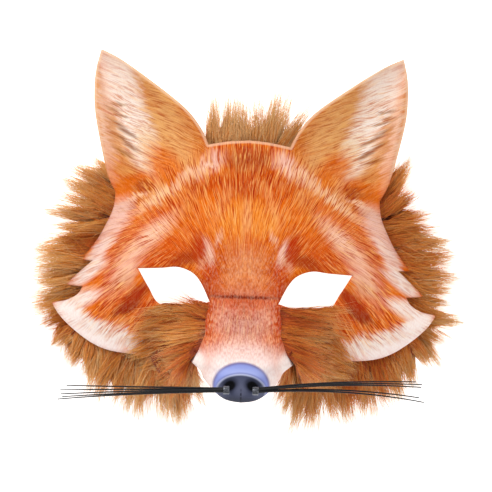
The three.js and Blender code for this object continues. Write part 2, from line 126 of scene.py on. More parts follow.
def on_curve(points: np.ndarray, share: np.ndarray) -> np.ndarray:
    """Points of the smooth curve through some points.

    Args:
        points: The points that the curve passes through.
        share: Places along it, 0 to 1.

    Returns:
        One row for each place.
    """
    last = len(points) - 1
    place = np.clip(np.asarray(share, dtype=float), 0, 1) * last
    i = np.minimum(place.astype(int), last - 1)
    t = (place - i)[..., None]
    p1, p2 = points[i], points[i + 1]
    p0 = points[np.maximum(i - 1, 0)]
    p3 = points[np.minimum(i + 2, last)]
    p0 = np.where((i == 0)[..., None], p1, p0)
    p3 = np.where((i == last - 1)[..., None], p2, p3)
    v0, v1 = (p2 - p0) / 2, (p3 - p1) / 2
    cubic = (2 * p1 - 2 * p2 + v0 + v1) * t ** 3 + (3 * p2 - 3 * p1 - 2 * v0 - v1) * t ** 2
    return cubic + v0 * t + p1


def evenly(points: np.ndarray, step: float) -> np.ndarray:
    """Walks a line in even steps, its last point left out.

    Args:
        points: The line.
        step: Length of a step.

    Returns:
        The points of the walk.
    """
    lengths = np.concatenate([[0], np.cumsum(np.linalg.norm(np.diff(points, axis=0), axis=1))])
    count = max(1, round(lengths[-1] / step))
    places = np.linspace(0, lengths[-1], count + 1)[:-1]
    return np.stack([np.interp(places, lengths, points[:, axis]) for axis in (0, 1)], axis=1)


def loop_of(runs: list[np.ndarray], step: float) -> np.ndarray:
    """Joins smooth runs into one ring with even steps and sharp corners between the runs."""
    fine = [on_curve(run, np.linspace(0, 1, 40 * len(run))) if len(run) > 2 else run for run in runs]
    return np.concatenate([evenly(run, step) for run in fine])


class FaceForm:
    """The height of the mask's front over the surface that it lies on."""

    brow_height = drawn((
        (-88, 39), (-63, 47), (-44, 54.5), (-27, 60.4), (-10, 65.2), (10, 63.3), (34, 55.5), (54, 44.8),
    ))
    half_width = drawn((
        (-80, 103), (-44, 102), (-33, 100), (-23, 92), (-10, 84), (0, 78), (26, 69), (54, 62),
    ))
    rim_height = drawn(((-80, 13), (-33, 13.6), (0, 16.5), (26, 19), (54, 20)))
    ridge_height = drawn((
        (-78, 94), (-74, 99), (-68, 101.7), (-61, 100.7), (-56, 97.8), (-44, 83.5), (-32, 66), (-27, 60.4),
    ))
    snout_half = drawn((
        (-80, 13), (-74, 15.6), (-68, 19.5), (-62, 23.4),
        (-57.5, 26), (-50.5, 22.9), (-34.5, 19), (-26, 17.5),
    ))
    snout_drop = drawn((
        (-78, 15), (-68, 21.5), (-62, 24.4), (-57.5, 22.4), (-44, 13.6), (-34, 6), (-27, 2),
    ))
    snout_foot = drawn((
        (-80, 30), (-62, 27.5), (-57.5, 26), (-50.5, 22.9), (-34.5, 19), (-26, 17.5),
    ))
    ear_notch = drawn(((21, 50.7, 43.8),))[0]
    ear_foot = drawn(((68.4, 25.5, 19),))[0]
    ear_tip = drawn(((78.1, 99, 25.5),))[0]
    nose_centre = drawn(((0, -66.6),))[0]
    nose_radii = drawn(((14, 9.8),))[0]
    nostril = drawn(((5, -66.9),))[0]
    snout_start = (-23.5 * PART, -29 * PART)
    crease_line = -26.9
    crease_depth = 0.8
    crease_width = 0.9
    ear_blend = 6
    ear_hollow = 8
    ear_curl = 1.6
    pad_rise = 3.5
    nostril_depth = 2.6
    nostril_width = 2.4
    groove_depth = 0.7

    def brow(self, x: np.ndarray, y: np.ndarray) -> np.ndarray:
        """Height of the brow, cheeks and crown without ears or snout.

        Args:
            x: Places across the face.
            y: Places up the face.

        Returns:
            The height at each point.
        """
        rim = reading(self.rim_height, y)
        share = np.abs(x) / reading(self.half_width, y)
        return rim + (reading(self.brow_height, y) - rim) * (1 - share ** 2.2)

    def ear_shares(self, x: np.ndarray, y: np.ndarray) -> tuple[np.ndarray, np.ndarray, float]:
        """Where points stand on an ear.

        Args:
            x: Places across the face.
            y: Places up the face.

        Returns:
            Shares along the ear's foot and up towards its tip, and the ear's length.
        """
        foot = self.ear_foot[:2] - self.ear_notch[:2]
        tip = self.ear_tip[:2] - self.ear_notch[:2]
        here_x, here_y = np.abs(x) - self.ear_notch[0], y - self.ear_notch[1]
        area = foot[0] * tip[1] - foot[1] * tip[0]
        along = (here_x * tip[1] - here_y * tip[0]) / area
        up = (foot[0] * here_y - foot[1] * here_x) / area
        return along, up, area / math.hypot(foot[0], foot[1])

    def on_ear(self, x: np.ndarray, y: np.ndarray) -> np.ndarray:
        """Share of the ear in the surface at each point.

        Args:
            x: Places across the face.
            y: Places up the face.

        Returns:
            Shares, 0 off the ear and 1 on it.
        """
        _, up, length = self.ear_shares(x, y)
        inner = ease(self.ear_notch[0] * 0.65, self.ear_notch[0] * 1.1, np.abs(x))
        return ease(-self.ear_blend / length, self.ear_blend / length, up) * inner

    def ear(self, x: np.ndarray, y: np.ndarray) -> np.ndarray:
        """Height of an ear's cupped front.

        Args:
            x: Places across the face.
            y: Places up the face.

        Returns:
            The height at each point.
        """
        along, up, _ = self.ear_shares(x, y)
        plane = self.ear_notch[2] * (1 - along - up) + self.ear_foot[2] * along + self.ear_tip[2] * up
        side = np.clip((2 * along + up - 1) / np.maximum(1.12 - up, 0.05), -1, 1)
        hollow = self.ear_hollow * (1 - side * side) * ease(-0.1, 0.35, up) * (1 - up * up)
        return plane - hollow + self.ear_curl * ease(0.7, 1, np.abs(side))

    def snout(self, x: np.ndarray, y: np.ndarray) -> np.ndarray:
        """Height of the snout with its nose pad and nostrils.

        Args:
            x: Places across the face.
            y: Places up the face.

        Returns:
            The height at each point.
        """
        across = np.abs(x) / reading(self.snout_half, y)
        top = reading(self.ridge_height, y) - reading(self.snout_drop, y) * across ** 2.4
        centre, radii = self.nose_centre, self.nose_radii
        pad = np.hypot((x - centre[0]) / radii[0], (y - centre[1]) / radii[1])
        bore = np.hypot(np.abs(x) - self.nostril[0], y - self.nostril[1]) / self.nostril_width
        groove = self.groove_depth * np.exp(-((x / 0.9) ** 2)) * ease(-70, -75, y) * ease(1.1, 0.9, pad)
        raised = top + self.pad_rise * ease(1.05, 0.62, pad)
        return raised - self.nostril_depth * np.exp(-bore * bore) - groove

    def height(self, x: np.ndarray, y: np.ndarray) -> np.ndarray:
        """Height of the front surface at each point.

        Args:
            x: Places across the face.
            y: Places up the face.

        Returns:
            The height at each point.
        """
        on_ear = self.on_ear(x, y)
        head = self.brow(x, y) * (1 - on_ear) + self.ear(x, y) * on_ear
        foot = np.abs(x) / reading(self.snout_foot, y)
        on_snout = ease(self.snout_start[0], self.snout_start[1], y) * ease(1.1, 0.92, foot)
        full = head + (np.maximum(head, self.snout(x, y)) - head) * on_snout
        crease = np.exp(-(((y - self.crease_line) / self.crease_width) ** 2)) * ease(19, 15, np.abs(x))
        return full - self.crease_depth * crease


FORM = FaceForm()


class HeightMap:
    """The front, its inner offset and its length across, on a fine grid."""

    step = 0.5
    wall = 3.0
    half_width = 118
    half_height = 112
    deepest = 26

    def __init__(self) -> None:
        """Reads the form on the grid."""
        self.x = np.arange(-self.half_width, self.half_width + self.step, self.step)
        self.y = np.arange(-self.half_height, self.half_height + self.step, self.step)
        across, up = np.meshgrid(self.x, self.y)
        self.front = FORM.height(across, up)
        self.back = self.inner_offset()
        self.girth = self.length_across()

    def inner_offset(self) -> np.ndarray:
        """Lowers the front by the wall's thickness, measured square to it.

        Returns:
            The back's height on the grid.
        """
        reach = int(self.wall / self.step)
        lowest = np.full_like(self.front, np.inf)
        for i in range(-reach, reach + 1):
            for j in range(-reach, reach + 1):
                rest = self.wall ** 2 - (i * i + j * j) * self.step ** 2
                if rest >= 0:
                    moved = np.roll(self.front, (i, j), axis=(0, 1)) - math.sqrt(rest)
                    lowest = np.minimum(lowest, moved)
        return np.maximum(lowest, self.front - self.deepest)

    def length_across(self) -> np.ndarray:
        """Length of the surface from the middle outward along each row.

        Returns:
            Lengths on the grid, below 0 on the left.
        """
        steps = np.hypot(np.diff(self.front, axis=1), self.step)
        total = np.concatenate([np.zeros((len(self.y), 1)), np.cumsum(steps, axis=1)], axis=1)
        middle = total[:, len(self.x) // 2]
        return total - middle[:, None]

    def sample(self, grid: np.ndarray, x: np.ndarray, y: np.ndarray) -> np.ndarray:
        """Reads a grid field between its points.

        Args:
            grid: One of the grid's fields.
            x: Places across.
            y: Places up.

        Returns:
            The field's values there.
        """
        column = np.clip((x - self.x[0]) / self.step, 0, len(self.x) - 1.001)
        row = np.clip((y - self.y[0]) / self.step, 0, len(self.y) - 1.001)
        c, r = column.astype(int), row.astype(int)
        fc, fr = column - c, row - r
        low = grid[r, c] * (1 - fc) + grid[r, c + 1] * fc
        high = grid[r + 1, c] * (1 - fc) + grid[r + 1, c + 1] * fc
        return low * (1 - fr) + high * fr


MAP = HeightMap()
UP_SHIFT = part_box("face_shell")[1][1] / MM - 99 * PART  # from the face's own zero to the frame's


def placed(points: np.ndarray) -> np.ndarray:
    """Puts points of the face, in millimetres, in the frame, in metres."""
    return (points + np.array([0, UP_SHIFT, 0])) * MM


def linked(name: str, data: bpy.types.ID) -> bpy.types.Object:
    """Puts a mesh, lamp or camera in the scene as an object.

    Args:
        name: The object's name.
        data: The mesh, lamp or camera.

    Returns:
        The object.
    """
    piece = bpy.data.objects.new(name, data)
    bpy.context.scene.collection.objects.link(piece)
    return piece


def make_object(name: str, points: np.ndarray, faces: list, material: bpy.types.Material) -> bpy.types.Object:
    """Makes a smooth mesh object from points of the face.

    Args:
        name: The piece's name.
        points: Corners in the face's millimetres.
        faces: Corner numbers of each face.
        material: Its finish.

    Returns:
        The new object.
    """
    mesh = bpy.data.meshes.new(name)
    mesh.from_pydata(placed(points).tolist(), [], faces)
    mesh.polygons.foreach_set("use_smooth", [True] * len(mesh.polygons))
    mesh.materials.append(material)
    mesh.update()
    return linked(name, mesh)


def give(mesh: bpy.types.Mesh, name: str, values: np.ndarray) -> None:
    """Stores one value or vector for each point of a mesh.

    Args:
        mesh: The mesh.
        name: The attribute's name.
        values: One number or row for each point.
    """
    values = np.asarray(values, dtype=np.float32)
    vector = values.ndim == 2
    layer = mesh.attributes.new(name, "FLOAT_VECTOR" if vector else "FLOAT", "POINT")
    layer.data.foreach_set("vector" if vector else "value", values.ravel())


def grown(base: bpy.types.Object, tree: bpy.types.NodeTree, values: tuple) -> bpy.types.Mesh:
    """Runs a geometry nodes tree on an object, which is then taken away.

    Args:
        base: The object that the tree starts from.
        tree: The tree.
        values: Values of its inputs after the first one, in order.

    Returns:
        The finished mesh.
    """
    modifier = base.modifiers.new("nodes", "NODES")
    modifier.node_group = tree
    sockets = [s for s in tree.interface.items_tree if s.in_out == "INPUT"][1:]
    for socket, value in zip(sockets, values):
        modifier[socket.identifier] = value
    graph = bpy.context.evaluated_depsgraph_get()
    mesh = bpy.data.meshes.new_from_object(base.evaluated_get(graph), depsgraph=graph)
    base.modifiers.remove(modifier)
    bpy.data.objects.remove(base)
    return mesh


class Wire:
    """A value that runs through a node tree, on which sums are written as on a number."""

    def __init__(self, graph: "Graph", socket: bpy.types.NodeSocket) -> None:
        """Holds one output of a node."""
        self.graph, self.socket = graph, socket
        self.wide = socket.type in ("VECTOR", "RGBA")

    def sum(self, operation: str, other: object) -> "Wire":
        """Adds a sum node for this value and another one."""
        return (self.graph.vector if self.wide else self.graph.math)(operation, self, other)

    def __add__(self, other: object) -> "Wire":
        """Adds a number, or a vector to a vector."""
        return self.sum("ADD", other)

    def __sub__(self, other: object) -> "Wire":
        """Takes away a number, or a vector from a vector."""
        return self.sum("SUBTRACT", other)

    def __mul__(self, other: object) -> "Wire":
        """Multiplies a number or a vector by a number."""
        return self.sum("SCALE" if self.wide else "MULTIPLY", other)

    def __pow__(self, other: object) -> "Wire":
        """Raises a number to a power."""
        return self.sum("POWER", other)


class Graph:
    """Adds nodes to a tree and joins them."""

    def __init__(self, tree: bpy.types.NodeTree) -> None:
        """Starts with an empty tree."""
        self.tree = tree
        tree.nodes.clear()

    def feed(self, node: bpy.types.Node, inputs: dict) -> None:
        """Joins or sets a node's inputs, given by name or number.

        Args:
            node: The node.
            inputs: A value or wire for each input.
        """
        for key, value in inputs.items():
            if isinstance(value, Wire):
                self.tree.links.new(value.socket, node.inputs[key])
            else:
                node.inputs[key].default_value = value

    def add(self, kind: str, inputs: dict | None = None, **settings: object) -> bpy.types.Node:
        """Adds one node.

        Args:
            kind: The node's type.
            inputs: Values or wires for its inputs, by name or number.
            settings: Its own settings.

        Returns:
            The node.
        """
        node = self.tree.nodes.new(kind)
        for key, value in settings.items():
            setattr(node, key, value)
        self.feed(node, inputs or {})
        return node

    def out(self, kind: str, inputs: dict | None = None, output: int | str = 0, **settings: object) -> Wire:
        """Adds one node and gives one of its outputs."""
        return Wire(self, self.add(kind, inputs, **settings).outputs[output])

    def given(self) -> dict[str, Wire]:
        """The inputs of a node group, by name."""
        return {socket.name: Wire(self, socket) for socket in self.add("NodeGroupInput").outputs}

    def math(self, operation: str, a: object, b: object = 0.0) -> Wire:
        """Adds a sum on numbers."""
        return self.out("ShaderNodeMath", {0: a, 1: b}, operation=operation)

    def vector(self, operation: str, a: object, b: object = None) -> Wire:
        """Adds a sum on vectors and gives its result, a number for a length.

        Args:
            operation: Blender's name of the sum.
            a: First value.
            b: Second value, if it takes one.

        Returns:
            The result.
        """
        inputs = {0: a} if b is None else {0: a, "Scale" if operation == "SCALE" else 1: b}
        output = "Value" if operation == "LENGTH" else "Vector"
        return self.out("ShaderNodeVectorMath", inputs, output, operation=operation)

    def split(self, value: Wire) -> list[Wire]:
        """Takes a vector or a colour apart into three numbers."""
        kind = "Color" if value.socket.type == "RGBA" else "XYZ"
        return [Wire(self, socket) for socket in self.add(f"ShaderNodeSeparate{kind}", {0: value}).outputs]

    def joined(self, x: object, y: object, z: object = 0.0) -> Wire:
        """Makes a vector of three numbers."""
        return self.out("ShaderNodeCombineXYZ", {0: x, 1: y, 2: z})

    def stretched(self, place: Wire, scale: tuple[float, float, float]) -> Wire:
        """Scales a place by its own share along each axis."""
        return self.out("ShaderNodeMapping", {"Vector": place, "Scale": scale})

    def mixed(self, share: object, a: object, b: object, blend: str = "MIX") -> Wire:
        """Mixes two colours."""
        inputs = {0: share, 6: a, 7: b}
        return self.out("ShaderNodeMix", inputs, 2, data_type="RGBA", blend_type=blend, clamp_factor=True)

    def darkened(self, share: Wire, tone: Wire, tint: tuple[int, int, int]) -> Wire:
        """Multiplies a colour by a tint."""
        return self.mixed(share, tone, colour(*tint), "MULTIPLY")

    def lightened(self, share: Wire, tone: Wire, tint: tuple[int, int, int], part: float = 0.6) -> Wire:
        """Takes a colour a part of the way to a tint."""
        return self.mixed(share, tone, self.mixed(part, tone, colour(*tint)))

    def eased(self, value: object, start: object, end: object, low: float = 0, high: float = 1) -> Wire:
        """Eases a number from low at start to high at end."""
        inputs = {"Value": value, "From Min": start, "From Max": end, "To Min": low, "To Max": high}
        return self.out("ShaderNodeMapRange", inputs, "Result", interpolation_type="SMOOTHSTEP")

    def attribute(self, name: str, output: str = "Fac") -> Wire:
        """Reads a mesh attribute in a material."""
        return self.out("ShaderNodeAttribute", output=output, attribute_name=name)

    def noise(self, place: object, scale: float, detail: float = 2.0, output: int = 0) -> Wire:
        """Adds a noise and gives its value, or its colour for output 1."""
        return self.out("ShaderNodeTexNoise", {"Vector": place, "Scale": scale, "Detail": detail}, output)

    def dress(self, geometry: Wire, material: Wire) -> None:
        """Ends a geometry tree: smooth, made real and in its material.

        Args:
            geometry: What the tree has made.
            material: Its finish.
        """
        smooth = self.out("GeometryNodeSetShadeSmooth", {"Geometry": geometry})
        real = self.out("GeometryNodeRealizeInstances", {"Geometry": smooth})
        dressed = self.out("GeometryNodeSetMaterial", {"Geometry": real, "Material": material})
        self.add("NodeGroupOutput", {0: dressed})


def new_group(name: str, kind: str, inputs: dict[str, str], output: str) -> Graph:
    """Makes a node group with named inputs.

    Args:
        name: The group's name.
        kind: Shader or Geometry.
        inputs: The kind of each input, by its name.
        output: The kind of its one output.

    Returns:
        The group's graph, still empty.
    """
    tree = bpy.data.node_groups.new(name, f"{kind}NodeTree")
    for label, socket in inputs.items():
        tree.interface.new_socket(label, in_out="INPUT", socket_type=f"NodeSocket{socket}")
    tree.interface.new_socket("Result", in_out="OUTPUT", socket_type=f"NodeSocket{output}")
    return Graph(tree)


class Finish:
    """A procedural material; each kind gives the inputs of its surface."""

    name = ""

    def surface(self, graph: Graph) -> dict[str, object]:
        """Inputs of the surface, by name."""
        raise NotImplementedError

    def build(self) -> bpy.types.Material:
        """Makes the material.

        Returns:
            The material.
        """
        material = bpy.data.materials.new(self.name)
        material.use_nodes = True
        graph = Graph(material.node_tree)
        surface = graph.out("ShaderNodeBsdfPrincipled", self.surface(graph))
        graph.add("ShaderNodeOutputMaterial", {"Surface": surface})
        return material


CREAM = (246, 232, 224)
PINK_WHITE = (244, 216, 206)
DARK_RED = (160, 48, 20)
BROWN = (140, 76, 16)


@dataclass(frozen=True)
class Patch:
    """A soft oval of colour in the print, the same on both halves of the face.

    Place, length and width are in millimetres, and the turn is in degrees from straight outward.
    """

    x: float
    y: float
    length: float
    width: float
    turn: float
    tint: tuple[int, int, int]
    amount: float
    soft: float


FACE_PATCHES = [Patch(*row) for row in (
    # the ear: golden ground, pale rims, white hair and dark gaps in it
    (57, 64, 46.8, 24.5, 64, (222, 158, 100), 1, 0.35),
    (76.5, 70.9, 33, 4.8, 85, (240, 200, 176), 0.85, 0.5),
    (71.2, 97.1, 13.8, 9.5, 60, (234, 206, 196), 0.9, 0.5),
    (52.4, 79.4, 29.5, 6.3, 42, (214, 152, 92), 0.8, 0.6),
    (31.5, 59.8, 14.7, 6.3, 54, (204, 112, 46), 0.9, 0.6),
    (43.4, 60.9, 18, 10.6, 62, (228, 172, 112), 0.8, 0.6),
    (63, 64.9, 28.8, 8, 68, (255, 246, 236), 0.97, 0.55),
    (67.8, 83.7, 12.7, 7.4, 70, (248, 232, 220), 0.85, 0.6),
    (52.7, 49.2, 11.7, 5.3, 65, (240, 206, 160), 0.7, 0.6),
    (43.5, 39.5, 13.7, 7.4, 52, (222, 112, 36), 0.9, 0.5),
    (71.9, 73.7, 4.3, 0.8, 8, BROWN, 0.7, 0.8),
    (73.9, 70.5, 3.7, 0.9, 10, BROWN, 0.6, 0.8),
    (69.5, 67.4, 4.3, 0.8, 16, BROWN, 0.7, 0.8),
    (71, 63.1, 4.8, 0.9, 22, BROWN, 0.7, 0.8),
    (65.5, 58.5, 6.4, 1, 30, BROWN, 0.8, 0.8),
    (69.2, 55.8, 4.8, 1, 28, BROWN, 0.75, 0.8),
    (62.6, 50.6, 5.3, 1.1, 32, BROWN, 0.8, 0.8),
    (66.8, 47.3, 4.8, 1.3, 24, BROWN, 0.6, 0.8),
    (73.1, 60.4, 11.7, 2.1, 82, (206, 140, 84), 0.7, 0.6),
    (64.2, 38.3, 8.5, 2.7, 10, (214, 140, 78), 0.7, 0.6),
    # the foot of the ear and the temple
    (58.3, 30.8, 10.6, 6.3, -12, (214, 104, 32), 0.95, 0.4),
    (60.5, 22.7, 9, 1.7, -26, (250, 216, 186), 0.7, 0.6),
    (61.4, 19, 7.9, 1.6, -30, (190, 84, 32), 0.7, 0.6),
    (55.4, 29.7, 5.3, 3.2, -10, (172, 76, 22), 0.8, 0.6),
    (44.3, 25.6, 17.8, 2.6, -36, (246, 206, 170), 0.7, 0.6),
    (26.3, 37.6, 9.4, 4.2, -30, (246, 206, 178), 0.7, 0.6),
    (64.8, 19.5, 7.4, 2.1, -20, (206, 110, 60), 0.7, 0.6),
    (71.7, 10.3, 13.8, 7.4, -50, PINK_WHITE, 0.7, 0.5),
    (45.4, 15.1, 17.7, 4.7, -38, (220, 104, 46), 0.9, 0.6),
    (57.9, 4.3, 12.6, 4.2, -52, (216, 110, 62), 0.85, 0.6),
    (68.3, -7.7, 12.6, 3.7, -66, (210, 112, 76), 0.8, 0.6),
    (71.9, -23.6, 11.6, 3.7, -84, (212, 112, 84), 0.8, 0.6),
    (52.2, 0.3, 18.8, 5.2, -46, (244, 196, 170), 0.95, 0.6),
    (60.3, -12.6, 13.6, 4.7, -56, (242, 188, 164), 0.9, 0.6),
    (64.2, -23.2, 8.4, 5.2, -60, (228, 172, 138), 0.8, 0.6),
    (77.6, -4.8, 12.8, 3.7, -55, PINK_WHITE, 0.9, 0.5),
    (83.5, -16.8, 11.7, 3.7, -38, CREAM, 0.9, 0.5),
    (88.1, -31.7, 12.7, 4.2, -22, CREAM, 0.9, 0.5),
    # above the eye
    (36.2, -1.3, 17.6, 6.7, -25, (210, 84, 30), 0.85, 0.6),
    (40.1, -8.1, 15.5, 3.6, -8, (206, 78, 28), 0.9, 0.6),
    (30.2, -7.3, 7.7, 3.1, -16, (160, 52, 18), 0.9, 0.7),
    # below the eye and the flap
    (54.2, -32.2, 15.6, 8.9, 8, (216, 100, 48), 0.95, 0.5),
    (57.5, -28.7, 11.5, 3.1, -44, DARK_RED, 0.95, 0.6),
    (61.1, -34.6, 6.8, 2.6, -30, (140, 40, 16), 0.95, 0.6),
    (66.8, -43.3, 14.7, 3.1, 14, (222, 118, 66), 0.85, 0.7),
    (74.2, -47.9, 27.4, 5.3, 16, CREAM, 0.95, 0.5),
    (89.9, -40.3, 11.7, 5.3, 25, CREAM, 0.95, 0.5),
    (60.1, -52.5, 22, 4.7, 8, CREAM, 0.95, 0.5),
    # the forehead
    (0, 44.6, 13.5, 6.8, 0, (180, 84, 44), 0.95, 0.5),
    (0, 50, 10.4, 2.1, 0, (190, 84, 50), 0.6, 0.7),
    (18.2, 44.2, 6.2, 4.7, -60, PINK_WHITE, 0.55, 0.7),
    (0, 31, 26.9, 7.8, 0, (196, 72, 22), 0.95, 0.5),
    (0, 14.4, 22.7, 10.3, 0, (242, 146, 66), 0.85, 0.6),
    (21.7, 15.3, 17.6, 6.7, -52, (228, 112, 46), 0.7, 0.6),
    (0, 14.9, 8.8, 2.3, 90, (250, 206, 160), 0.35, 0.8),
    (13.1, 20.7, 10.3, 2.6, -70, (244, 176, 120), 0.4, 0.8),
    # the bridge
    (0, -2.1, 7.2, 11.3, 90, (224, 112, 58), 0.8, 0.6),
    (0, -14.4, 12.3, 9.3, 90, (242, 164, 114), 0.8, 0.7),
    (17, -16, 12.4, 4.6, 80, (206, 70, 26), 0.9, 0.5),
    (19.8, -23.4, 7.2, 3.1, 70, (188, 54, 20), 0.75, 0.6),
    (19.5, -3.3, 6.7, 2.6, 74, (248, 206, 190), 1, 0.5),
    (14, 3.6, 4.1, 1.5, -70, (250, 216, 196), 0.5, 0.6),
    (24.2, -1.9, 7.7, 3.6, 82, (184, 46, 6), 1, 0.6),
    (21.8, -9, 4.6, 2.1, -60, (240, 180, 150), 0.6, 0.6),
    (0, -20.1, 14.4, 4.6, 0, (246, 152, 96), 0.7, 0.6),
    (0, -25.3, 16.5, 2.1, 0, (212, 84, 38), 0.5, 0.6),
    # the snout
    (0, -36.8, 18.4, 13.3, 0, (240, 166, 140), 0.9, 0.4),
    (0, -29.4, 15.5, 3.1, 0, (218, 92, 46), 0.8, 0.6),
    (9.2, -31.2, 5.1, 2.6, 0, (232, 146, 112), 0.5, 0.7),
    (0, -40.7, 12.2, 7.1, 0, (206, 156, 148), 0.75, 0.7),
    (0, -32.4, 4.6, 6.7, 90, (204, 80, 42), 0.55, 0.7),
    (19.2, -39.7, 14.4, 4.1, -84, (208, 82, 38), 0.95, 0.5),
    (20.6, -51.1, 7.1, 4.6, -75, (222, 120, 80), 0.8, 0.6),
)]
FIRM_PATCHES = [Patch(*row) for row in (
    # deep red beside the eyes, the fold where the snout begins, the pale muzzle and cheeks
    (57.5, -28.7, 10.4, 2.9, -44, (168, 50, 20), 0.75, 0.75),
    (61.1, -34.6, 6.8, 2.6, -30, (150, 46, 18), 0.6, 0.75),
    (24.2, -1.4, 6.7, 3.1, 82, (184, 50, 12), 0.6, 0.75),
    (31.8, -7.8, 9.3, 2.8, -16, (180, 62, 20), 0.45, 0.75),
    (0, -26.6, 17, 0.8, 0, (120, 30, 14), 0.9, 0.7),
    (0, -58, 20, 9.5, 0, (246, 220, 214), 0.95, 0.45),
    (0, -68.6, 21.9, 11.9, 0, (250, 236, 232), 1, 0.3),
    (24.8, -60.8, 7.1, 6.1, -60, (250, 236, 230), 1, 0.4),
    (79.6, -52.5, 21.1, 3.7, 20, (252, 240, 236), 0.8, 0.6),
    (92.2, -38.3, 8.5, 3.2, 30, (252, 238, 232), 0.8, 0.6),
)]
NOSE_PATCHES = [Patch(*row) for row in (
    # the nose: outline, lilac rim, light on it, slate pad, nostrils
    (0, -70.2, 14.4, 12.1, 0, (74, 70, 140), 0.9, 0.06),
    (0, -70.6, 13.6, 11.5, 0, (138, 150, 214), 1, 0.07),
    (0, -63.6, 9, 2.2, 0, (172, 182, 232), 0.8, 0.8),
    (0, -72.3, 12.9, 9.1, 0, (96, 98, 160), 0.9, 0.08),
    (0, -72.5, 12.5, 8.8, 0, (206, 212, 240), 0.9, 0.06),
    (0, -73, 12.2, 8.7, 0, (70, 74, 98), 1, 0.07),
    (0, -72, 3.4, 4.6, 0, (98, 101, 124), 0.7, 0.8),
    (8.6, -73.4, 2.6, 3.6, 20, (90, 94, 118), 0.6, 0.8),
    (0, -78.6, 12, 3.2, 0, (40, 42, 56), 0.7, 0.6),
    (5.7, -69.4, 4.1, 3.3, -30, (48, 50, 68), 0.9, 0.35),
    (5.7, -69.8, 2.9, 2.3, -30, (10, 10, 14), 1, 0.25),
    (0, -75.4, 0.4, 4, 0, (30, 30, 42), 0.8, 0.6),
)]


